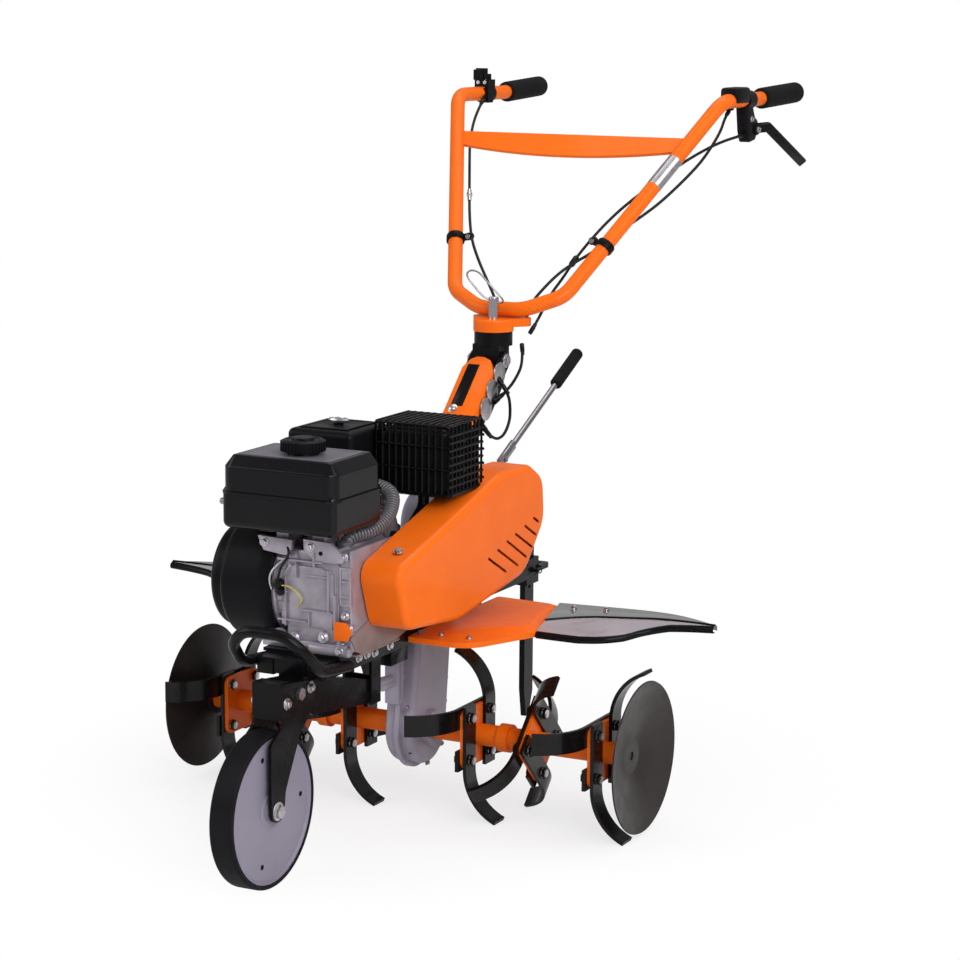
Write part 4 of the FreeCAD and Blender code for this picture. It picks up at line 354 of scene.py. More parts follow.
def upright(x: float, y: float, z: float) -> Matrix:
    """Matrix that stands a plate drawn in (across, up) on the front, its thickness going forwards."""
    return moved(site(x, y, z)) @ Matrix.Rotation(math.radians(90), 4, "X")


class Bench:
    """Modelling by operators, one mesh at a time; sizes in millimetres, places as matrices."""

    @staticmethod
    def only(*chosen: Object) -> None:
        """Select these objects and nothing else; the first becomes active."""
        bpy.ops.object.select_all(action="DESELECT")
        for one in chosen:
            one.select_set(True)
        if chosen:
            bpy.context.view_layer.objects.active = chosen[0]

    @staticmethod
    def pick(test: Callable[[Vector, Vector], bool]) -> None:
        """Select the faces of the mesh in edit mode whose centre and normal pass a test."""
        mesh = bmesh.from_edit_mesh(bpy.context.edit_object.data)
        bpy.ops.mesh.select_all(action="DESELECT")
        bpy.ops.mesh.select_mode(type="FACE")
        for face in mesh.faces:
            if test(face.calc_center_median(), face.normal):
                face.select_set(True)
        bmesh.update_edit_mesh(bpy.context.edit_object.data)

    @staticmethod
    def close() -> None:
        """Turn every normal of the mesh in edit mode outwards and leave edit mode."""
        bpy.ops.mesh.select_all(action="SELECT")
        bpy.ops.mesh.normals_make_consistent(inside=False)
        bpy.ops.object.mode_set(mode="OBJECT")

    @staticmethod
    def bake(piece: Object, matrix: Matrix | None = None) -> Object:
        """Carry a piece to its place if one is given, and apply its transform to its mesh."""
        if matrix is not None:
            piece.matrix_world = matrix
            bpy.context.view_layer.update()
        Bench.only(piece)
        bpy.ops.object.transform_apply(location=True, rotation=True, scale=True)
        return piece

    @staticmethod
    def modified(made: Object, kind: str, **settings: object) -> Object:
        """Give an object a modifier with these settings and apply it."""
        extra = made.modifiers.new(kind.lower(), kind)
        for name, value in settings.items():
            setattr(extra, name, value)
        Bench.only(made)
        bpy.ops.object.modifier_apply(modifier=extra.name)
        return made

    @staticmethod
    def softened(made: Object, width: float) -> Object:
        """Bevel an object's sharp edges, if the width isn't 0."""
        if width > 0:
            Bench.modified(made, "BEVEL", width=width * MM, segments=2, limit_method="ANGLE")
        return made

    @staticmethod
    def turned(steps: Sequence[Pair], sides: int = 32, at: Matrix | None = None) -> Object:
        """Round piece on +Z, extruded and scaled step by step from its first face.

        Args:
            steps: (radius, height) pairs.
            sides: number of sides.
            at: its place.

        Returns:
            The new object.
        """
        Bench.only()
        radius, height = steps[0]
        bpy.ops.mesh.primitive_circle_add(
            vertices=sides, radius=radius * MM, fill_type="NGON", location=(0, 0, height * MM)
        )
        made = Bench.bake(bpy.context.active_object)
        bpy.ops.object.mode_set(mode="EDIT")
        bpy.ops.mesh.select_all(action="SELECT")
        for next_radius, next_height in steps[1:]:
            rise = (0, 0, (next_height - height) * MM)
            bpy.ops.mesh.extrude_region_move(TRANSFORM_OT_translate={"value": rise})
            scale = next_radius / radius
            bpy.ops.transform.resize(value=(scale, scale, 1), center_override=(0, 0, next_height * MM))
            radius, height = next_radius, next_height
        Bench.close()
        return Bench.bake(made, at)

    @staticmethod
    def block(size: Point, soft: float = 1, inset: float = 0, sink: float = 0, at: Matrix | None = None) -> Object:
        """Block centred on the origin with bevelled edges, and if asked a framed top.

        Args:
            size: X, Y and Z sizes.
            soft: width of the bevel.
            inset: width of the frame round the top face.
            sink: how far the framed field lies below it.
            at: its place.

        Returns:
            The new object.
        """
        Bench.only()
        bpy.ops.mesh.primitive_cube_add(size=MM)
        made = bpy.context.active_object
        bpy.ops.transform.resize(value=size)
        bpy.ops.object.transform_apply(location=True, rotation=True, scale=True)
        if inset > 0:
            bpy.ops.object.mode_set(mode="EDIT")
            Bench.pick(lambda centre, normal: normal.z > 0.9)
            bpy.ops.mesh.inset(thickness=inset * MM)
            bpy.ops.mesh.extrude_region_move(TRANSFORM_OT_translate={"value": (0, 0, -sink * MM)})
            bpy.ops.object.mode_set(mode="OBJECT")
        return Bench.bake(Bench.softened(made, soft), at)

    @staticmethod
    def plate(outline: Sequence[Pair], thick: float, soft: float = 0.5, at: Matrix | None = None) -> Object:
        """Flat plate on z = 0, pulled up to its thickness from an outline.

        Args:
            outline: (x, y) corners, anticlockwise.
            thick: its thickness.
            soft: width of the bevel along its edges.
            at: its place.

        Returns:
            The new object.
        """
        Bench.only()
        bpy.ops.mesh.primitive_circle_add(vertices=len(outline), radius=MM, fill_type="NGON")
        made = bpy.context.active_object
        for vertex, (x, y) in zip(made.data.vertices, outline):
            vertex.co = (x * MM, y * MM, 0)
        bpy.ops.object.mode_set(mode="EDIT")
        bpy.ops.mesh.select_all(action="SELECT")
        bpy.ops.mesh.extrude_region_move(TRANSFORM_OT_translate={"value": (0, 0, thick * MM)})
        Bench.close()
        return Bench.bake(Bench.softened(made, soft), at)

    @staticmethod
    def rod(points: Sequence[Vector], radius: float, sides: int = 4) -> Object:
        """Round bar along the smooth line that its control points give.

        Args:
            points: control points in metres.
            radius: in millimetres.
            sides: bevel resolution of the curve.

        Returns:
            The new object, a mesh.
        """
        line = Route(points).curve()
        line.data.bevel_depth = radius * MM
        line.data.bevel_resolution = sides
        line.data.use_fill_caps = True
        Bench.only(line)
        bpy.ops.object.convert(target="MESH")
        return bpy.context.active_object

    @staticmethod
    def hexagon(radius: float, height: float, washer: float = 0, at: Matrix | None = None) -> Object:
        """Bolt head or nut on +Z, with a washer under it if asked.

        Args:
            radius: corner radius of the hexagon.
            height: height of the hexagon.
            washer: radius of the washer, or 0 for none.
            at: its place.

        Returns:
            The new object.
        """
        base = 1.4 if washer > 0 else 0
        top = base + height
        parts = [Bench.turned([(radius, base), (radius, base + height * 0.86), (radius * 0.86, top),
                               (radius * 0.5, top), (radius * 0.46, base + height * 1.12)], 6)]
        if washer > 0:
            parts.append(Bench.turned([(washer, 0), (washer, 1), (washer - 0.4, base)], 20))
        return Bench.bake(Bench.joined(parts), at)

    @staticmethod
    def joined(parts: Sequence[Object]) -> Object:
        """Join several objects into one, in place."""
        bpy.context.view_layer.update()
        if len(parts) > 1:
            Bench.only(*parts)
            bpy.ops.object.join()
        return Bench.bake(parts[0])

    @staticmethod
    def repeated(pattern: Object, places: Sequence[Matrix]) -> Object:
        """Copy a pattern to each place and join the copies.

        Args:
            pattern: the piece modelled once; it is used up.
            places: one matrix for each copy.

        Returns:
            The joined object.
        """
        copies = []
        for matrix in places:
            twin = pattern.copy()
            twin.data = pattern.data.copy()
            bpy.context.collection.objects.link(twin)
            twin.matrix_world = matrix
            copies.append(twin)
        bpy.data.objects.remove(pattern)
        return Bench.joined(copies)


@dataclass
class Route:
    """A smooth line through space, given by its control points in metres."""

    points: Sequence[Vector]

    def curve(self) -> Object:
        """Return the line as a curve object with no thickness."""
        data = bpy.data.curves.new("line", "CURVE")
        data.dimensions = "3D"
        data.resolution_u = 8
        spline = data.splines.new("NURBS")
        spline.points.add(len(self.points) - 1)
        for knot, point in zip(spline.points, self.points):
            knot.co = (*point, 1)
        spline.order_u = 3
        spline.use_endpoint_u = True
        made = bpy.data.objects.new("line", data)
        bpy.context.collection.objects.link(made)
        return made

    def samples(self, step: float) -> list[tuple[Vector, Vector]]:
        """Walk along the line in equal steps.

        Args:
            step: distance between samples, in metres.

        Returns:
            (point, direction) pairs from end to end.
        """
        line = self.curve()
        mesh = bpy.data.meshes.new_from_object(line)
        path = [vertex.co.copy() for vertex in mesh.vertices]
        bpy.data.objects.remove(line)
        bpy.data.meshes.remove(mesh)
        reach = [0.0]
        for before, after in zip(path, path[1:]):
            reach.append(reach[-1] + (after - before).length)
        count = max(int(reach[-1] / step), 2)
        walked = []
        leg = 0
        for index in range(count + 1):
            goal = reach[-1] * index / count
            while leg < len(path) - 2 and reach[leg + 1] < goal:
                leg += 1
            span = max(reach[leg + 1] - reach[leg], 1e-9)
            heading = (path[leg + 1] - path[leg]).normalized()
            walked.append((path[leg].lerp(path[leg + 1], (goal - reach[leg]) / span), heading))
        return walked


# ---------------------------------------------------------------- sub-assemblies


@dataclass
class Assembly:
    """Sub-assembly whose pieces ride on one body."""

    body: str = "machine"

    def fit(self, name: str, coat: Coat, *parts: Object, slot: str = "", angle: float = 35, hides: str = "") -> None:
        """Join parts into one named piece, give it its finish and fasten it to the body.

        Args:
            name: the piece's name.
            coat: its finish.
            parts: the modelled parts.
            slot: the record's material slot, if it isn't the finish's own; not used.
            angle: edges sharper than this stay sharp, in degrees.
            hides: CAD node that the piece is shown for, if any.
        """
        piece = Bench.joined(parts)
        piece.name = name
        piece.data.name = name
        piece.data.materials.clear()
        piece.data.materials.append(coat.value.material())
        Bench.only(piece)
        bpy.ops.object.shade_smooth_by_angle(angle=math.radians(angle))
        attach(piece, self.body)
        if hides:
            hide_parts(hides)
        LOG.info("piece %s on %s", name, self.body)

    def bolts(self, name: str, size: Point, places: Sequence[Matrix], coat: Coat = Coat.ZINC) -> None:
        """Fit one bolt head or nut with its washer at each place.

        Args:
            name: the piece's name.
            size: radius and height of the hexagon, and radius of the washer.
            places: where they sit.
            coat: their finish.
        """
        self.fit(name, coat, Bench.repeated(Bench.hexagon(*size), places))


@dataclass
class Engine(Assembly):
    """Tank fittings, starter, casting, guard, hose and the engine's bolts."""

    crank: Point = (0, -323, 497)
    front: float = -415
    lean: float = 25
    rib_count: int = 28
    fin_count: int = 30
    hose_radius: float = 13
    hose_pitch: float = 7
    hose_points: Line = ((56, -372, 567), (56, -372, 595), (78, -310, 595), (80, -245, 614), (52, -182, 655),
                         (-8, -182, 655))
    foot_spots: tuple[Pair, ...] = ((-19, 414), (-52, 417), (40, 421))

    def build(self) -> None:
        """Build every fitting of the engine."""
        for step in (self.tank_top, self.tank_cap, self.cleaner_knob, self.starter_ribs, self.shroud_rim,
                     self.side_cover, self.casting_relief, self.tank_lugs, self.front_wires, self.engine_bolts,
                     self.guard_cage, self.breather_hose, self.spark_lead):
            step()

    def on_front(self, x: float, z: float, out: float) -> Vector:
        """Point before the casting's front face, so far out of it."""
        return site(x, self.front - out, z)

    def tank_top(self) -> None:
        """Framed field pressed into the top of the tank, grey as a painted reflection on the black top, and the stay
        knob at its far side.
        """
        low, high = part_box("fuel_tank")
        margin, sunk = 58, 5.7
        width, depth = ((high[axis] - low[axis]) / MM - margin for axis in (0, 1))
        centre = middle("fuel_tank")
        centre.z = high[2] - sunk * MM
        # the field's grey is a painted reflection on the black tank top
        self.fit("tank_top_panel", Coat.PANEL, Bench.block((width, depth, 1.6), 0.5, 7, 0.8, moved(centre)))
        place = facing(site(-141, -452, 655), -X_AXIS)
        self.fit("tank_knob", Coat.STEEL, Bench.turned([(6, -2), (6, 7), (4.5, 9), (2, 9)], 20, place))

    def tank_cap(self) -> None:
        """Screw cap with gripping ribs round its skirt and a raised bar across its top."""
        low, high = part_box("fuel_cap")
        radius = (high[0] - low[0]) / MM / 2 + 2.5
        tall = (high[2] - low[2]) / MM
        cap = Bench.turned([(radius, 0), (radius, tall * 0.74), (radius - 4, tall * 0.84), (radius - 9, tall * 0.86),
                            (radius - 10, tall * 0.8), (radius - 18, tall * 0.8), (radius - 20, tall)], 72)
        bpy.ops.object.mode_set(mode="EDIT")
        limit = tall * 0.7 * MM
        step = 2 * math.pi / 36
        Bench.pick(lambda centre, normal: abs(normal.z) < 0.2 and centre.z < limit
                   and math.atan2(centre.y, centre.x) % step < step / 2)
        bpy.ops.mesh.inset(thickness=0.25 * MM, use_individual=True)
        bpy.ops.transform.shrink_fatten(value=1.4 * MM)
        bpy.ops.object.mode_set(mode="OBJECT")
        bar = Bench.block((9, radius * 1.1, 5), 1.5, at=moved(Z_AXIS * (tall - 2.6) * MM))
        foot = middle("fuel_cap")
        foot.z = low[2]
        whole = Bench.bake(Bench.joined([cap, bar]), facing(foot, Z_AXIS, 35))
        self.fit("fuel_cap_ribbed", Coat.PLASTIC, whole, angle=30, hides="fuel_cap")

    def cleaner_knob(self) -> None:
        """Oval wing nut on the air cleaner and the raised field under it."""
        low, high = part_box("air_cleaner")
        centre = middle("air_cleaner")
        centre.z = high[2] - 12 * MM
        oval = moved(centre + Z_AXIS * 4 * MM) @ Matrix.Diagonal((1.35, 0.8, 1, 1))
        self.fit("cleaner_wing_nut", Coat.ZINC, Bench.turned(
            [(9, 0), (15, 2), (16, 6), (14, 9), (10, 9.6), (9, 8.2), (4, 8.2)], 40, oval))
        margin = 44
        width, depth = ((high[axis] - low[axis]) / MM - margin for axis in (0, 1))
        lid = Bench.block((width, depth, 3), 1, 6, 1, moved(centre + Z_AXIS * 1.2 * MM))
        self.fit("cleaner_lid_field", Coat.PLASTIC, lid)

    def starter_ribs(self) -> None:
        """Air slots of the starter cover, its hub and its screws."""
        centre = site(*self.crank)
        centre.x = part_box("recoil_starter")[0][0]
        slant = Matrix.Rotation(math.radians(24), 4, "Z")
        ribs = Bench.repeated(Bench.block((30, 3.2, 3), 0.9), [
            facing(centre, -X_AXIS, 360 * index / self.rib_count) @ moved(Vector((54, 0, 0.6)) * MM) @ slant
            for index in range(self.rib_count)])
        place = facing(centre, -X_AXIS)
        hub = Bench.turned([(30, -0.5), (30, 2), (27, 3.4), (14, 3.4), (12, 2), (4, 2)], 48, place)
        ring = Bench.turned([(78, -0.5), (78, 0.8), (76.5, 1.4), (73.5, 1.4), (72, 0.2), (40, 0.2)], 72, place)
        self.fit("starter_air_slots", Coat.PLASTIC, ribs, hub, ring)
        around = [facing(centre, -X_AXIS, turn) @ moved(Vector((82, 0, -5)) * MM) for turn in (40, 160, 280)]
        self.bolts("starter_screws", (5, 3.4, 7.5), around)

    def shroud_rim(self) -> None:
        """Black rim that the blower laps over the casting, and the casting with its ribbed drum."""
        centre = site(*self.crank)
        place = facing(centre, X_AXIS)
        rim = [(104, -92), (113, -92), (113, -65), (111.5, -62.5), (96, -62.5)]
        self.fit("blower_rim", Coat.PLASTIC, Bench.turned(rim, 72, place))
        drum = Bench.turned([(100, -90), (104, -64), (104, -58), (102, -56), (97, -55), (96, -40), (93, -30),
                             (80, -28)], 72, place)
        fins = Bench.repeated(Bench.block((8, 2.4, 26), 0.8), [
            facing(centre, X_AXIS, 360 * index / self.fin_count) @ moved(Vector((96, 0, -44)) * MM)
            for index in range(self.fin_count)])
        block = Bench.block((106, 184, 172), 9, at=moved(site(13, self.crank[1], 489)))
        base = Bench.block((148, 176, 28), 3, at=moved(site(-18, self.crank[1], 405)))
        self.fit("crankcase_casting", Coat.CAST, drum, fins, block, base, hides="crankcase")

    def side_cover(self) -> None:
        """Bolted cover of the crankshaft's output side, with its seam, rungs and bolts."""
        depth = 154
        centre = self.crank[1] - 10
        face = centre - depth / 2
        boss = Bench.turned([(9, -10), (9, 4), (7.5, 5.5), (3, 5.5)], 20)
        spots = ((78, 568), (80, 462), (88, 440), (70, 408))
        self.fit("side_cover", Coat.CAST,
                 Bench.block((28, depth, 178), 7, at=moved(site(77, centre, 488))),
                 Bench.block((4, depth + 8, 186), 1.2, at=moved(site(66, centre, 488))),
                 Bench.block((5, depth + 4, 184), 2, at=moved(site(90, centre, 488))),
                 Bench.block((24, 70, 9), 1.4, 4, 4, upright(81, face - 1, 515)),
                 Bench.repeated(Bench.block((22, 8, 4), 1.2), [moved(site(81, face - 2, z)) for z in (497, 524)]),
                 Bench.repeated(boss, [facing(site(x, face, z), -Y_AXIS) for x, z in spots]))
        tips = [facing(site(x, face - 5, z), -Y_AXIS, x) for x, z in spots]
        self.bolts("side_cover_bolts", (4.8, 4.2, 6.6), tips)

    def casting_relief(self) -> None:
        """Raised panel, ribs and base flange on the front of the casting."""
        parts = [Bench.plate([(-46, -56), (58, -56), (60, -20), (60, 44), (36, 54), (-30, 54), (-46, 30)], 5, 1.6,
                             upright(0, self.front + 1, 492))]
        for x, z, width, height, out in (
                (28, 467, 62, 3, 4), (-36, 480, 3, 90, 3), (-4, 556, 92, 4, 6), (-14, 540, 3, 30, 3),
                (52, 505, 4, 76, 4), (30, 530, 40, 3, 2), (12, 452, 3, 30, 3), (-22, 446, 60, 3, 3),
                (24, 560, 4, 26, 6), (64, 470, 4, 60, 3)):
            parts.append(Bench.block((width, 12, height), 1.1, at=moved(self.on_front(x, z, out))))
        flange = Bench.block((150, 22, 12), 3, at=moved(self.on_front(10, 405, -4)))
        foot = Bench.block((84, 16, 16), 4, at=moved(self.on_front(52, 398, 2)))
        pad = Bench.turned([(11, -8), (11, 3), (9, 5), (4, 5)], 24)
        pads = Bench.repeated(pad, [facing(self.on_front(x, z, 4), -Y_AXIS) for x, z in self.foot_spots])
        self.fit("casting_relief", Coat.CAST, *parts, flange, foot, pads)

    def tank_lugs(self) -> None:
        """Two cast lugs under the tank's front edge, each with its bolt."""
        place = upright(0, self.front - 1, 0)
        rise = Bench.block((26, 54, 40), 3)
        self.fit("tank_lugs", Coat.CAST,
                 Bench.plate([(-92, 594), (-80, 568), (-34, 562), (-22, 574), (-20, 592)], 9, 1.6, place),
                 Bench.plate([(2, 596), (3, 574), (30, 556), (80, 558), (84, 566), (58, 594)], 9, 1.6, place),
                 Bench.repeated(rise, [moved(self.on_front(x, 591, -32)) for x in (-49, 25)]))
        places = [facing(self.on_front(x, 583, 10), -Y_AXIS, x) for x in (-78, 16)]
        self.bolts("tank_lug_bolts", (6.4, 5, 9), places)
        # black dimple that paints the shade inside the lug's hole
        hole = Bench.turned([(4, -1), (4, 0.6), (3, 1)], 16, facing(self.on_front(38, 573, 10), -Y_AXIS))
        self.fit("tank_lug_hole", Coat.HOLLOW, hole, slot="cast_aluminium")

    def front_wires(self) -> None:
        """Oil switch with its two leads, a bent wire, and the orange tab on the side cover."""
        self.fit("oil_switch", Coat.SHEATH,
                 Bench.turned([(10, -2), (10, 5), (8, 8), (8, 12), (5, 14)], 20,
                              facing(self.on_front(-48, 510, 8), -Y_AXIS)),
                 Bench.turned([(7, -2), (7, 6), (4, 8)], 16, facing(self.on_front(-44, 496, 7), -Y_AXIS)),
                 Bench.rod(sites(((-30, -424, 578), (-22, -430, 566), (-34, -430, 552), (-44, -431, 534),
                                  (-48, -430, 510))), 2.2))
        self.fit("yellow_lead", Coat.YELLOW, Bench.rod(sites((
            (-46, -430, 508), (-32, -428, 510), (-16, -424, 502), (-2, -424, 488), (-4, -423, 478),
            (-14, -420, 472))), 1.3))
        self.fit("governor_wire", Coat.ZINC, Bench.rod(sites((
            (-38, -420, 558), (-44, -428, 548), (-58, -434, 534), (-62, -436, 516), (-60, -430, 500))), 2))
        self.fit("orange_tab", Coat.ORANGE, Bench.plate(
            [(64, 419), (90, 420), (100, 438), (87, 453), (64, 453)], 4, 0.9, upright(0, self.front - 6, 0)))

    def barrel(self) -> tuple[Vector, Vector]:
        """Directions along the leaning barrel and up from it."""
        lean = math.radians(self.lean)
        return Vector((0, math.cos(lean), math.sin(lean))), Vector((0, -math.sin(lean), math.cos(lean)))

    def engine_bolts(self) -> None:
        """Drain bolt, base bolts and bolts of the casting's feet and of the rocker cover."""
        places = [facing(self.on_front(x, z, 9), -Y_AXIS, x) for x, z in (*self.foot_spots, (74, 400))]
        places += [facing(site(x, self.crank[1] + 70, 415), Z_AXIS, x) for x in (-72, 30)]
        self.bolts("base_bolts", (6.4, 5, 8.6), places)
        along, across = self.barrel()
        centre = site(*self.crank)
        places = [facing(centre + (X_AXIS * x + along * 221 + across * rise) * MM, along)
                  for x in (-62, 18) for rise in (-30, 36)]
        self.bolts("rocker_bolts", (5.2, 5, 7), places)

    def spark_lead(self) -> None:
        """Plug cap on the head and its lead to the blower housing."""
        along, across = self.barrel()
        seat = site(*self.crank) + (X_AXIS * -22 + along * 176 - across * 44) * MM
        aim = along * 0.55 - across
        tip = seat + aim.normalized() * 36 * MM
        cap = Bench.turned([(7, -2), (7, 12), (10, 14), (10, 34), (7, 38), (4, 38)], 20, facing(seat, aim))
        lead = Bench.rod([tip, tip + (along * 16 - across * 6) * MM, tip + Vector((-30, 12, -12)) * MM,
                          tip + Vector((-62, 0, 4)) * MM, site(-100, self.crank[1] + 148, self.crank[2] + 24)], 3.4)
        self.fit("spark_lead", Coat.SHEATH, cap, lead)

    def guard_cage(self) -> None:
        """Pierced guard round the silencer: wires both ways and round it, a foot band, and a black box inside as
        painted shade.
        """
        low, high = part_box("muffler_guard")
        x0, y0, z0 = (value / MM for value in low)
        x1, y1, z1 = (value / MM for value in high)
        wire, bend, across, along, rings = 2.5, 9, 11, 9, 9
        left, right, near, far = x0 + wire, x1 - wire, y0 + wire, y1 - wire

        def hoop(start: float, end: float, top: float) -> list[Pair]:
            """Path up one side, over the top and down the other side."""
            return [(start, z0), (start, top - bend), (start, top), (start + bend, top), (end - bend, top),
                    (end, top), (end, top - bend), (end, z0)]

        lines = []
        for index in range(across + 1):
            x = left + (right - left) * index / across
            lines.append([(x, y, z) for y, z in hoop(near, far, z1 - wire)])
        for index in range(along + 1):
            y = near + (far - near) * index / along
            lines.append([(x, y, z) for x, z in hoop(left, right, z1 - wire * 1.6)])
        for index in range(rings):
            z = z0 + 6 + (z1 - z0 - 14) * index / rings
            spare = 3 if index % 2 else 1
            lines += [[(x, near, z), (x, y1 + spare, z)] for x in (left, right)]
            lines.append([(left, far, z), (x1 + spare, far, z)])
        lines += [[(left, near, z0 + rise), (right, near, z0 + rise)] for rise in (5, 50, 92)]
        parts = [Bench.rod([Vector([value * MM for value in point]) for point in line], wire, 1) for line in lines]
        x, y, z = ((start + end) / 2 for start, end in zip((x0, y0, z0), (x1, y1, z1)))
        foot = Bench.block((x1 - x0, y1 - y0, 8), 2, at=moved(Vector((x, y, z0 + 4)) * MM))
        bpy.ops.object.mode_set(mode="EDIT")
        Bench.pick(lambda centre, normal: abs(normal.z) > 0.9)
        bpy.ops.mesh.inset(thickness=5 * MM, use_individual=True)
        bpy.ops.mesh.bridge_edge_loops()
        bpy.ops.object.mode_set(mode="OBJECT")
        self.fit("guard_cage", Coat.BLACK, *parts, foot, angle=60, hides="muffler_guard")
        # painted shade: a black box inside the guard for the darkness behind its wires
        self.fit("guard_painted_shade", Coat.HOLLOW, Bench.block(
            (x1 - x0 - 16, y1 - y0 - 16, z1 - z0 - 26), 3, at=moved(Vector((x, y, z - 10)) * MM)))

    def breather_hose(self) -> None:
        """Corrugated hose: a core run along the hose's line, with a moulded ring at every pitch; its grey paints the
        highlights on the black hose's ribs.
        """
        points = sites(self.hose_points)
        radius = self.hose_radius
        core = Bench.rod([point for point, _ in Route(points).samples(6 * MM)], radius - 2.6, 5)
        Bench.only()
        bpy.ops.mesh.primitive_torus_add(major_segments=24, minor_segments=8, major_radius=(radius - 2.2) * MM,
                                         minor_radius=2.5 * MM)
        ring = bpy.context.active_object
        walked = Route(points).samples(self.hose_pitch * MM)[3:-3]
        rings = Bench.repeated(ring, [facing(point, heading) for point, heading in walked])
        cuff = Bench.turned([(radius, 0), (radius + 0.6, 2), (radius + 0.6, 20), (radius - 2, 21)], 28)
        cuffs = Bench.repeated(cuff, [facing(points[0], Z_AXIS), facing(points[-1], X_AXIS)])
        # the hose's grey is a painted highlight on black plastic
        self.fit("breather_hose", Coat.HOSE, core, rings, cuffs, angle=60, hides="intake_hose")
        clamp = Bench.turned([(14.6, 0), (14.6, 8), (13.6, 8)], 28)
        self.fit("hose_clamps", Coat.ZINC, Bench.repeated(clamp, [
            facing(point + axis * 3 * MM, axis) for point, axis in ((points[0], Z_AXIS), (points[-1], X_AXIS))]))


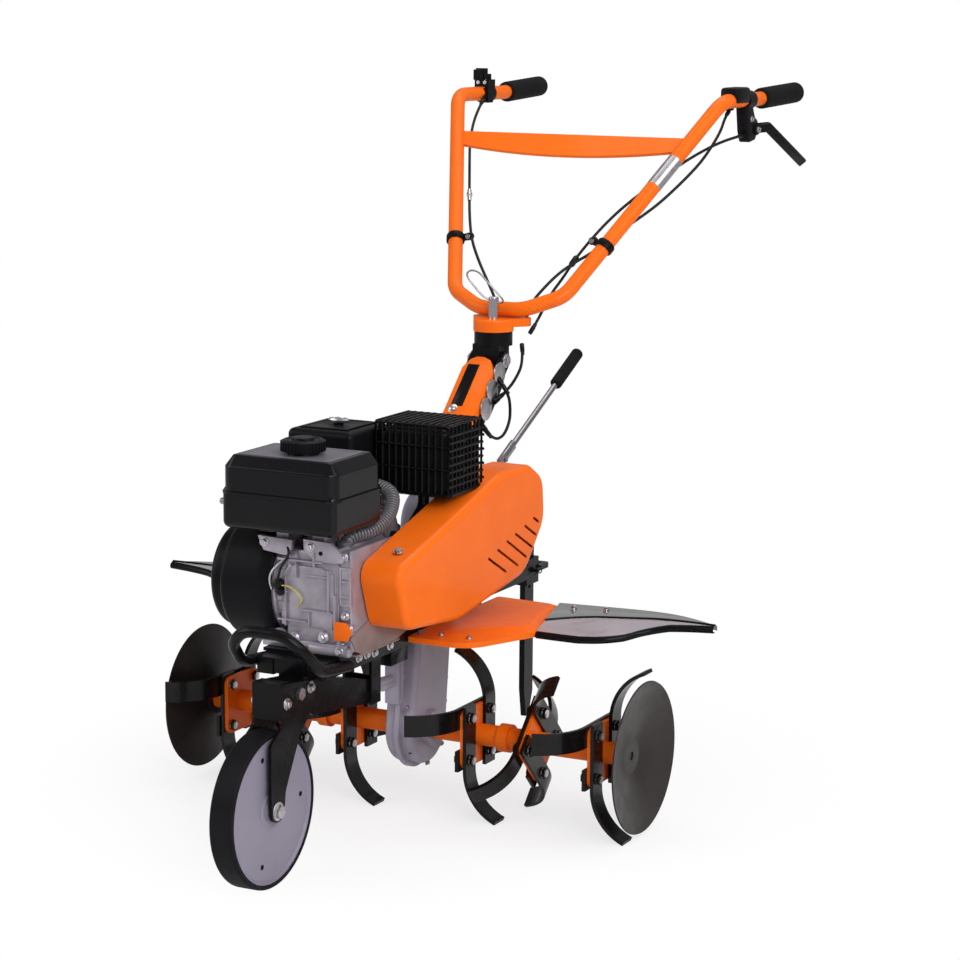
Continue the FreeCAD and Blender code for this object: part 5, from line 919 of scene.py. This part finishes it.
@dataclass
class Chassis(Assembly):
    """Belt cover's bolt, side bracket, outer fenders, rail bolts, case fittings and the stake's pin."""

    rail_face: float = 69
    columns: int = 40
    back: tuple[Pair, ...] = ((213, 194), (330, 177), (455, 153), (540, 104), (592, 62))
    fold: tuple[Pair, ...] = ((256, 34), (310, 78), (400, 84), (490, 92), (590, 58))
    edge: tuple[Pair, ...] = ((263, -16), (345, -22), (415, -16), (480, 66), (590, 53))
    drop: tuple[float, ...] = (12, 17, 15, 3, 1.5)

    def build(self) -> None:
        """Build the frame's fittings."""
        self.bolts("belt_cover_bolt", (6, 4.6, 9), [facing(site(140, -328, 569), (0, -0.36, 0.93))])
        self.side_plate()
        for side, hand in SIDES:
            self.outer_fender(side, hand)
        self.fender_and_rail_bolts()
        self.case_details()
        self.stake_pin()

    def side_plate(self) -> None:
        """Brown bracket under the belt cover that ties the engine's side to the rail, and the rails' caps."""
        plate = Bench.plate([(-418, 424), (-398, 396), (-366, 384), (-262, 386), (-206, 398), (-214, 446),
                             (-350, 446)], 3, at=moved(site(91.5, 0, 0)) @ OUTLINE_TO_SIDE)
        shelf = Bench.block((30, 156, 4), 1, at=moved(site(80, -316, 387)))
        self.fit("seat_side_plate", Coat.PLATE, plate, shelf)
        places = [moved(site(x, -466, 370)) for x in (-52, 52)]
        self.fit("rail_end_caps", Coat.BLACK, Bench.repeated(Bench.block((33, 4, 29), 1.2), places))

    def top(self, x: float) -> float:
        """Height of the outer fender's top, which rises outwards."""
        return 380 + (x - 213) * 0.0658

    def outer_fender(self, side: int, hand: str) -> None:
        """Glossy outer fender: flat top, front flank that deepens at its middle and is painted light grey as a painted
        reflection, and a rolled black rim.

        Args:
            side: 1 for the belt cover's side, -1 for the other.
            hand: the side's name.
        """
        lines = [Route([Vector((x, y, 0)) for x, y in line]).samples(0.5) for line in (self.back, self.fold, self.edge)]
        sheets = []
        for first, last in ((0, 3), (3, 6), (7, 11)):
            Bench.only()
            bpy.ops.mesh.primitive_grid_add(x_subdivisions=self.columns, y_subdivisions=last - first, size=1)
            made = Bench.bake(bpy.context.active_object)
            for index, vertex in enumerate(made.data.vertices):
                row, column = divmod(index, self.columns + 1)
                share = column / self.columns
                rear, crease, front = (line[round(share * (len(line) - 1))][0] for line in lines)
                x, y, z = self.section(rear, crease, front, self.depth(share))[first + row]
                vertex.co = site(side * x, y, z + self.top(x))
            Bench.modified(made, "SOLIDIFY", thickness=1.8 * MM, offset=0)
            bpy.ops.object.mode_set(mode="EDIT")
            Bench.close()
            sheets.append(made)
        node = f"fender_outer_{hand}"
        self.fit(f"fender_sheet_{hand}", Coat.FENDER, sheets[0], angle=50, hides=node)
        # the flank's light grey is a painted reflection on the dark fender
        self.fit(f"fender_flank_{hand}", Coat.FLANK, sheets[1], angle=50, hides=node)
        ridge = Bench.rod([site(side * x, y, self.top(x) + 1) for x, y in self.fold], 2.6)
        self.fit(f"fender_rim_{hand}", Coat.BLACK, sheets[2], ridge, angle=60)

    def depth(self, share: float) -> float:
        """How far the fender's front edge lies below its top, at a share of its length."""
        place = share * (len(self.drop) - 1)
        index = min(int(place), len(self.drop) - 2)
        return self.drop[index] + (self.drop[index + 1] - self.drop[index]) * (place - index)

    def section(self, rear: Vector, crease: Vector, front: Vector, deep: float) -> list[Point]:
        """Cross-section of the outer fender, heights counted from its top.

        Args:
            rear: point on the back edge, in millimetres.
            crease: point on the fold.
            front: point on the front edge.
            deep: how far the front edge lies below the top.

        Returns:
            Rows 0 to 3 of the top, 3 to 6 of the flank and 7 to 11 of the rolled rim.
        """
        step = crease.lerp(front, 0.08)
        flank = crease.lerp(front, 0.55)
        x, y = front.x, front.y
        return [(rear.x, rear.y, -9), (rear.x, rear.y, -1), (rear.x, rear.y - 3, 0), (crease.x, crease.y, 0),
                (step.x, step.y, -2.4 * min(deep / 10, 1)), (flank.x, flank.y, -deep * 0.42), (x, y, -deep),
                (x, y + 2, 1.5 - deep), (x, y - 3, -deep - 1), (x, y - 5, -deep - 5.5),
                (x, y - 2.5, -deep - 10), (x, y + 4, -deep - 10.5)]

    def fender_and_rail_bolts(self) -> None:
        """Bolts on the inner fenders' flanks, through the outer fenders' tops, and along the rails."""
        places = []
        for side, _ in SIDES:
            for x, y, z in ((86, -143, 376.5), (128, -139, 376.5), (182, -132, 375)):
                places.append(facing(site(side * x, y, z), (0, -0.18, 1), x))
            for x in (262, 330):
                places.append(facing(site(side * x, 150, self.top(x) + 1), Z_AXIS, x))
        self.bolts("fender_bolts", (4.6, 3.2, 6.4), places)
        places = []
        for y, z in ((-347, 372), (-289, 369), (-318, 372), (-404, 368), (-232, 370), (0, 366), (76, 366)):
            for side, _ in SIDES:
                places.append(facing(site(side * self.rail_face, y, z), (side, 0, 0), y))
        self.bolts("rail_bolts", (6.4, 5.4, 9), places)

    def case_details(self) -> None:
        """Seam bolts and cast ribs of the chain case, and the black bracket at its front."""
        places = [facing(site(24, y, z), X_AXIS, z) for y, z in (
            (78, 300), (74, 236), (70, 190), (-78, 210), (-70, 116), (0, 84), (58, 108))]
        self.bolts("case_bolts", (4.6, 4, 6.2), places, Coat.STEEL)
        self.fit("case_bracket", Coat.BLACK, Bench.block((34, 66, 46), 3, 5, 3, moved(site(4, -104, 326))))
        ribs = Bench.repeated(Bench.block((30, 5, 84), 1.6), [moved(site(2, y, 262)) for y in (-98, -84)])
        sleeve = Bench.turned([(9, 0), (9, 62), (7.5, 63.5), (4, 63.5)], 28, facing(site(2, -76, 262), -Y_AXIS))
        self.fit("case_ribs", Coat.GREY, ribs, sleeve)

    def stake_pin(self) -> None:
        """Pin through the stake's socket with its spring clip."""
        y, z = middle("depth_stake").y, 370 * MM
        pin = Bench.turned([(8, -34), (8, -31), (4.5, -31), (4.5, 26), (3.4, 28), (3, 28.5)], 20,
                           facing(Vector((0, y, z)), X_AXIS))
        tip = Vector((23 * MM, y, z))
        clip = Bench.rod([tip + Vector((0, back, up)) * MM for back, up in (
            (-12, 4), (12, 4), (24, 0), (20, -10), (4, -6), (-12, -7))], 1.2)
        self.fit("stake_pin", Coat.BLACK, pin, clip, slot="bright_steel")


@dataclass
class Fork(Assembly):
    """Nuts and bolts of the front wheel's folding fork."""

    body: str = "front_arm"

    def build(self) -> None:
        """Build the fork's fittings."""
        low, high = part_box("wheel_arm")
        hub, pivot = middle("wheel_disc"), middle("arm_pivot_bolt")
        nuts, locks = [], []
        for side, face in ((1, high[0]), (-1, low[0])):
            out = (side, 0, 0)
            nuts.append(facing(Vector((face, hub.y, hub.z)), out, 12))
            locks.append(facing(Vector((face, pivot.y + 43 * MM, pivot.z + 2 * MM)), out, 20))
            locks.append(facing(Vector((face, pivot.y - 38 * MM, pivot.z - 10 * MM)), out, 40))
        self.bolts("wheel_axle_nuts", (12.5, 8, 17), nuts)
        self.bolts("fork_bolts", (7, 6, 11), locks)


@dataclass
class Wheel(Assembly):
    """Three small holes in each side of the pressed disc, as black dimples of painted shade, and its collars."""

    body: str = "front_wheel"

    def build(self) -> None:
        """Build the wheel's fittings."""
        centre = middle("wheel_disc")
        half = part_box("wheel_disc")[1][0] - centre.x
        holes, collars = [], []
        for side, _ in SIDES:
            out = (side, 0, 0)
            for turn in map(math.radians, (2, 106, -108)):
                away = Vector((side * (half - 6 * MM), 0.1 * math.cos(turn), 0.1 * math.sin(turn)))
                holes.append(facing(centre + away, out))
            collars.append(facing(centre + X_AXIS * side * (half - 4.6 * MM), out))
        # black dimples that paint the shade inside the disc's holes
        hole = Bench.turned([(4.8, -0.6), (4.8, 0.4), (4.2, 0.7), (2.6, 0.2)], 20)
        self.fit("wheel_holes", Coat.HOLLOW, Bench.repeated(hole, holes), slot="grey_paint")
        collar = Bench.turned([(22, 0), (22, 1.6), (20, 2.4), (13, 2.4)], 36)
        self.fit("wheel_collars", Coat.RIM, Bench.repeated(collar, collars))


@dataclass
class Rotor(Assembly):
    """Washers, heads and nuts of the tine sets."""

    body: str = "tine_rotor"
    half_bolts: float = 41
    flanges: tuple[float, ...] = (129.5, 261.3, 393.1)
    pair_faces: Pair = (11, -11)
    outboard_faces: Pair = (4, -18)

    def build(self) -> None:
        """Build the rotor's fittings; the middle set of each side is turned by 45 degrees."""
        centre = middle("tine_axle")
        for side, hand in SIDES:
            for index, x in enumerate(self.flanges):
                faces = self.outboard_faces if hand == "left" and index == 2 else self.pair_faces
                turn = Matrix.Rotation(math.radians(45 if index == 1 else 0), 3, "X")
                flange = Vector((side * x * MM, centre.y, centre.z))
                places = []
                for sy in (-1, 1):
                    for sz in (-1, 1):
                        arm = turn @ Vector((0, sy * self.half_bolts, sz * self.half_bolts))
                        for face in faces:
                            out = (math.copysign(1, face), 0, 0)
                            places.append(facing(flange + (arm + X_AXIS * face) * MM, out, 15 * sy))
                self.bolts(f"tine_bolts_{hand}_{index + 1}", (8.6, 6.8, 10.4), places)


@dataclass
class Cabled(Assembly):
    """Sub-assembly that carries held cables, given by their control points."""

    cable: float = 3

    def cable_line(self, node: str, route: Line) -> None:
        """One sheathed cable with a boot at each end.

        Args:
            node: the CAD cable that it stands for.
            route: its control points in millimetres.
        """
        points = sites(route)
        line = Bench.rod(points, self.cable, 3)
        boot = Bench.turned([(3.4, 0), (4.6, 2), (4.6, 16), (3.9, 18), (3.9, 22), (3.1, 24)], 16)
        boots = Bench.repeated(boot, [facing(points[0], points[1] - points[0]),
                                      facing(points[-1], points[-2] - points[-1])])
        self.fit(f"{node}_sheath", Coat.SHEATH, line, boots, angle=50, hides=node)


@dataclass
class Handlebar(Cabled):
    """Cables, ties, sleeve, adjusters, controls and bail of the handlebar."""

    body: str = "handlebar"
    tube: float = 15
    throttle: Line = (
        (-286, 836, 1316), (-281, 785, 1284), (-262, 723, 1232), (-230, 660, 1180), (-200, 602, 1126),
        (-178, 560, 1085), (-150, 515, 1042), (-116, 480, 1004), (-68, 428, 968), (-32, 398, 930), (-24, 390, 892),
    )
    reverse: Line = (
        (285, 832, 1304), (289, 800, 1292), (297, 757, 1263), (295, 678, 1215), (278, 646, 1184), (258, 616, 1155),
        (237, 589, 1128), (214, 569, 1106), (187, 546, 1083), (161, 518, 1055), (130, 489, 1028), (100, 468, 1008),
        (77, 448, 987), (58, 424, 960), (44, 402, 935), (38, 388, 905),
    )
    clutch: Line = (
        (302, 869, 1253), (300, 812, 1249), (293, 745, 1240), (275, 688, 1222), (244, 663, 1198), (200, 625, 1158),
        (162, 590, 1121), (131, 558, 1083), (106, 523, 1042), (92, 492, 1010), (85, 459, 980), (77, 430, 956),
        (75, 403, 935), (72, 376, 906), (58, 364, 876),
    )

    def build(self) -> None:
        """Build the handlebar's fittings."""
        self.cable_line("cable_throttle", self.throttle)
        self.cable_line("cable_reverse", self.reverse)
        self.cable_line("cable_clutch", self.clutch)
        for side, hand in SIDES:
            self.tie(side, hand)
        self.cable_fittings()
        for side, hand in SIDES:
            self.grip_rings(side, hand)
        self.clutch_lever()
        self.clutch_housing()
        self.control_screws()
        self.bail()

    def axis_point(self, share: float, side: int) -> tuple[Vector, Vector]:
        """Point and direction on a rising arm of the handlebar.

        Args:
            share: 0 at the lower bend, 1 at the upper bend.
            side: 1 for the belt cover's side, -1 for the other.

        Returns:
            The point in metres and the unit direction upwards.
        """
        foot, top = sites(((122, 388, 952), (304, 748, 1326)))
        spot, heading = foot.lerp(top, share), (top - foot).normalized()
        spot.x *= side
        heading.x *= side
        return spot, heading

    def tie(self, side: int, hand: str) -> None:
        """Black strap that holds the cables to an arm, with its bolt.

        Args:
            side: 1 for the belt cover's side, -1 for the other.
            hand: the side's name.
        """
        inner, outer = self.tube + 0.2, self.tube + 3
        place = seated(*self.axis_point(0.25, side), (-1, 0.15, 0.4) if side > 0 else (1, 0.1, 0))
        strap = Bench.turned([(inner, -8), (outer, -8), (outer + 1, -6), (outer + 1, 6), (outer, 8), (inner, 8)],
                             36, place)
        lug = Bench.block((17, 10, 14), 2.5, at=place @ moved(X_AXIS * 24 * MM))
        end = place @ (X_AXIS * 29 * MM)
        knob = Bench.turned([(8, -7), (8, 6), (6.5, 7.5), (3.5, 7.5)], 24, facing(end, -Y_AXIS))
        self.fit(f"cable_tie_{hand}", Coat.PLASTIC, strap, lug, knob)
        self.bolts(f"cable_tie_bolt_{hand}", (4.4, 3, 5.4), [facing(end - Y_AXIS * 7 * MM, -Y_AXIS)], Coat.STEEL)

    def cable_fittings(self) -> None:
        """Ferrules of the clutch cable, the arm's bare band and the adjuster of the throttle cable."""
        walked = Route(sites(self.clutch)).samples(3 * MM)
        places = [facing(*min(walked, key=lambda step: (step[0] - goal).length))
                  for goal in sites(((92, 492, 1010), (75, 410, 940)))]
        ferrule = Bench.turned([(3.4, -15), (5.2, -12), (6.4, -10), (6.4, 8), (5, 11), (3.4, 14)], 16)
        self.fit("clutch_ferrules", Coat.SHEATH, Bench.repeated(ferrule, places))
        inner, outer = self.tube + 0.05, self.tube + 0.5
        self.fit("arm_band", Coat.ZINC, Bench.turned(
            [(inner, -38), (outer, -37.5), (outer, 37.5), (inner, 38)], 48, facing(*self.axis_point(0.626, 1))))
        walked = Route(sites(self.throttle)).samples(4 * MM)
        self.fit("throttle_adjuster", Coat.ZINC, Bench.turned(
            [(3.4, -16), (4.4, -15), (4.4, -6), (6, -5), (6, 2), (4.2, 3), (4.2, 15), (3.4, 16)], 12,
            facing(*walked[int(len(walked) * 0.46)])))

    def grip_rings(self, side: int, hand: str) -> None:
        """Rings moulded round a foam grip.

        Args:
            side: 1 for the belt cover's side, -1 for the other.
            hand: the side's name.
        """
        start, end = sites(((299.5 * side, 955, 1325), (308 * side, 1156, 1333)))
        heading = (end - start).normalized()
        ring = Bench.turned([(22, -1.2), (22.3, -0.6), (22.3, 0.6), (22, 1.2)], 40)
        self.fit(f"grip_rings_{hand}", Coat.FOAM, Bench.repeated(ring, [
            facing(start + heading * (28 + 19 * step) * MM, heading) for step in range(9)]))

    def clutch_lever(self) -> None:
        """Flat lever blade with a squared end, hanging back below the right-hand grip."""
        root, knuckle, tip = sites(((312, 926, 1266), (330, 940, 1268), (345, 1108, 1187)))
        wide = (0.7, 0.2, 0.7)
        bars = [Bench.block((20, thick, (end - start).length / MM + 8), 3,
                            at=seated((start + end) / 2, end - start, wide))
                for start, end, thick in ((root, knuckle, 13), (knuckle, tip, 12))]
        bead = Bench.block((5, 2.4, 120), 1, at=seated((knuckle + tip) / 2, tip - knuckle, wide)
                           @ moved(Y_AXIS * 6.4 * MM))
        self.fit("clutch_lever_blade", Coat.PLASTIC, *bars, bead, slot="black_paint", hides="clutch_lever")

    def clutch_housing(self) -> None:
        """Switch block on the tube, clamp band and the slim housing of the clutch lever."""
        x, y, z = 301.8, 850, 1325.7
        side = [(6, -8), (17, -66), (30, -88), (60, -84), (78, -66), (74, -44), (58, -36), (42, -8)]
        self.fit("clutch_housing", Coat.PLASTIC,
                 Bench.block((40, 76, 33), 7, at=moved(site(x, y - 26, z + 11))),
                 Bench.block((14, 24, 26), 3, at=moved(site(x - 15, y - 22, z - 8))),
                 Bench.turned([(18, -20), (19.5, -18), (19.5, 18), (18, 20)], 36, facing(site(x, y + 34, z), Y_AXIS)),
                 Bench.plate(side, 25, 3, moved(site(x - 12.5, y, z)) @ OUTLINE_TO_SIDE),
                 Bench.block((22, 34, 12), 3, at=moved(site(x, y + 26, z - 16))),
                 Bench.turned([(12, -2), (12, 4), (10, 6), (5, 6)], 28, facing(site(x + 12, y + 62, z - 62), X_AXIS)),
                 hides="clutch_clamp")

    def control_screws(self) -> None:
        """Screws and pivots of the throttle and clutch controls."""
        low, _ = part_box("throttle_clamp")
        centre = middle("throttle_clamp").x
        places = [facing(Vector((centre + shift * MM, low[1] + 34 * MM, low[2] + 44 * MM)), -Y_AXIS)
                  for shift in (-8, 8)]
        places += [facing(spot, X_AXIS) for spot in sites(((314.2, 886, 1286), (319.6, 912, 1263.7)))]
        self.bolts("control_screws", (4.6, 4, 6.5), places)

    def bail(self) -> None:
        """Bent wire guide beside the swivel sleeve, where the throttle cable passes."""
        self.fit("cable_bail", Coat.STEEL, Bench.rod(sites((
            (0, 320, 943), (-14, 311, 947), (-32, 304, 968), (-52, 300, 992), (-44, 299, 1004), (-24, 300, 1002),
            (-8, 303, 984), (12, 308, 962), (26, 316, 944), (12, 322, 938), (0, 322, 938))), 1.9), angle=60)


@dataclass
class Column(Cabled):
    """Lower cables, cover, quadrant plates, lever fork and bolts of the column."""

    knee: Pair = (100, 630)
    end: Pair = (268, 792)
    drop: Line = ((47, 352, 858), (49, 356, 820), (49, 322, 790), (48, 284, 771), (44, 254, 759))
    loop: Line = ((46, 267, 787), (59, 270, 768), (61, 275, 741), (60, 275, 712), (55, 257, 684), (48, 227, 682),
                  (42, 205, 704))

    def on_run(self, along: float, up: float, x: float) -> Vector:
        """Point on the column's upper run.

        Args:
            along: distance from the knee in millimetres.
            up: height above its centre line, square to it.
            x: sideways place.

        Returns:
            The point in metres.
        """
        length = math.dist(self.knee, self.end)
        dy = (self.end[0] - self.knee[0]) / length
        dz = (self.end[1] - self.knee[1]) / length
        return site(x, self.knee[0] + along * dy - up * dz, self.knee[1] + along * dz + up * dy)

    def build(self) -> None:
        """Build the column's fittings."""
        self.cable_line("cable_drop", self.drop)
        self.cable_line("cable_loop", self.loop)
        start = self.on_run(0, 0, 0)
        up = (self.on_run(0, 1, 0) - start).normalized()
        along = (self.on_run(1, 0, 0) - start).normalized()
        turn = Matrix((X_AXIS, along, up)).transposed().to_4x4()
        outline = [(-34, -24), (34, -24), (35, 236), (20, 262), (4, 269), (-12, 269), (-24, 262), (-35, 240)]
        cover = Bench.plate(outline, 19, 2.2, moved(self.on_run(0, 10, 0)) @ turn)
        self.fit("column_cover_sheet", Coat.ORANGE, cover, hides="column_cover")
        strip = Bench.block((25, 104, 1.2), 0.4, 2, 0.3, moved(self.on_run(196, 29.2, -11)) @ turn)
        self.fit("column_cover_strip", Coat.BLACK, strip)
        self.fit("column_cover_bolt", Coat.ZINC, Bench.turned(
            [(10, -1), (10, 1.2), (8, 1.8), (7.6, 4), (5, 6), (2, 6.6)], 28, facing(self.on_run(137, 29, -17), up)))
        lobe = Bench.turned([(23, 0), (23, 2.6), (21, 3.4), (8, 3.4)], 40)
        self.fit("quadrant_plate", Coat.ZINC, Bench.repeated(lobe, [
            facing(site(37, y, z), X_AXIS) for y, z in ((272, 806), (240, 776), (214, 744))]))
        lever = Vector((0, 524, 260))
        self.fit("gear_lever_fork", Coat.STEEL,
                 Bench.block((9, 20, 74), 2.4, at=seated(site(22, 338, 635.2), lever, X_AXIS)),
                 Bench.hexagon(6, 4, 8, facing(site(26.5, 322, 627), X_AXIS)))
        pivot = middle("height_bolt")
        self.fit("height_bolt_washer", Coat.ZINC, Bench.turned(
            [(14, 0), (14, 1.4), (13.2, 2), (9, 2)], 30, facing(Vector((36 * MM, pivot.y, pivot.z)), X_AXIS)))


# ---------------------------------------------------------------- studio


@dataclass
class Studio:
    """White floor and backdrop, soft lamps and the camera."""

    eye: Point = (2400.1, -4466.8, 1552.6)
    aim: Point = (134.8, 0, 645.7)
    roll: float = 0.41
    lens: float = 102.05
    lamps: dict[str, tuple[Point, float, float]] = field(default_factory=lambda: {
        "key": ((3.2, -3.1, 2.8), 2.6, 134),
        "side": ((2.6, -0.4, 2.6), 2, 26),
        "fill": ((-3.4, -2.6, 2.4), 3, 70),
        "top": ((0.2, 1, 4.2), 3, 60),
    })

    def build(self) -> None:
        """Set up floor, light and camera."""
        self.floor()
        self.world()
        for name, (spot, size, power) in self.lamps.items():
            self.lamp(name, Vector(spot), size, power)
        self.camera()
        bpy.context.scene.view_settings.view_transform = "Standard"

    def floor(self) -> None:
        """Floor that keeps the object's shadow and pales to white away from it."""
        Bench.only()
        bpy.ops.mesh.primitive_plane_add(size=60)
        ground = bpy.context.active_object
        ground.name = "floor"
        paint = bpy.data.materials.new("floor_white")
        wires = Wires(paint)
        nodes = wires.tree.nodes
        matt = wires.set(nodes["Principled BSDF"], {
            "Base Color": (0.92, 0.92, 0.92, 1), "Roughness": 0.9, "Specular IOR Level": 0.1})
        white = wires.add("Emission", {"Strength": 1})
        place = wires.add("TexCoord").outputs["Object"]
        away = wires.add("VectorMath", {}, {0: place}, operation="LENGTH")
        fade = wires.add("MapRange", {"From Min": 0.35, "From Max": 0.98, "To Min": 0.7, "To Max": 1},
                         {"Value": away.outputs["Value"]}, interpolation_type="SMOOTHSTEP")
        seen = wires.add("LightPath").outputs["Is Camera Ray"]
        share = wires.add("Math", {}, {0: fade.outputs["Result"], 1: seen}, operation="MULTIPLY")
        mix = wires.add("MixShader", {}, {
            "Fac": share.outputs["Value"], 1: matt.outputs["BSDF"], 2: white.outputs["Emission"]})
        wires.set(nodes["Material Output"], {}, {"Surface": mix.outputs["Shader"]})
        ground.data.materials.append(paint)

    def world(self) -> None:
        """White to the camera and through clear things, plain soft grey as light."""
        world = bpy.data.worlds.new("studio")
        bpy.context.scene.world = world
        wires = Wires(world)
        path = wires.add("LightPath").outputs
        seen = wires.add("Math", {}, {0: path["Is Camera Ray"], 1: path["Is Transmission Ray"]}, operation="MAXIMUM")
        reach = wires.add("MapRange", {"To Min": 0.36, "To Max": 1}, {"Value": seen.outputs["Value"]})
        wires.set(wires.tree.nodes["Background"], {"Color": (1, 1, 1, 1)}, {"Strength": reach.outputs["Result"]})

    def lamp(self, name: str, spot: Vector, size: float, power: float) -> None:
        """Large soft lamp that looks at the machine.

        Args:
            name: its name.
            spot: its place in metres.
            size: width of its square face in metres.
            power: in watts.
        """
        lamp = bpy.data.lights.new(name, "AREA")
        lamp.energy = power
        lamp.size = size
        holder = bpy.data.objects.new(name, lamp)
        bpy.context.collection.objects.link(holder)
        holder.location = spot
        holder.rotation_euler = (Vector((0, 0, 0.6)) - spot).to_track_quat("-Z", "Y").to_euler()

    def camera(self) -> None:
        """Camera at the same angle, height and distance as a catalogue view."""
        data = bpy.data.cameras.new("camera")
        data.lens = self.lens
        data.sensor_width = 36
        data.clip_end = 100
        holder = bpy.data.objects.new("camera", data)
        bpy.context.collection.objects.link(holder)
        eye = site(*self.eye)
        look = (site(*self.aim) - eye).to_track_quat("-Z", "Y").to_matrix().to_4x4()
        holder.matrix_world = moved(eye) @ look @ Matrix.Rotation(math.radians(self.roll), 4, "Z")
        bpy.context.scene.camera = holder


def lay_coats() -> None:
    """Put the finishes on the CAD nodes."""
    named = {node: coat for coat, nodes in NODE_COATS.items() for node in nodes}
    for node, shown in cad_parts.items():
        coat = named.get(node, Coat.TINE)
        shown.data.materials.clear()
        shown.data.materials.append(coat.value.material())
        LOG.info("node %s in %s", node, coat.name.lower())


def main() -> None:
    """Dress the tiller, then set up the studio."""
    logging.basicConfig(level=logging.INFO, format="%(name)s: %(message)s")
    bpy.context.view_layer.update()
    lay_coats()
    for part in (Engine(), Chassis(), Fork(), Wheel(), Rotor(), Handlebar(), Column(), Studio()):
        part.build()


if __name__ == "__main__":
    main()
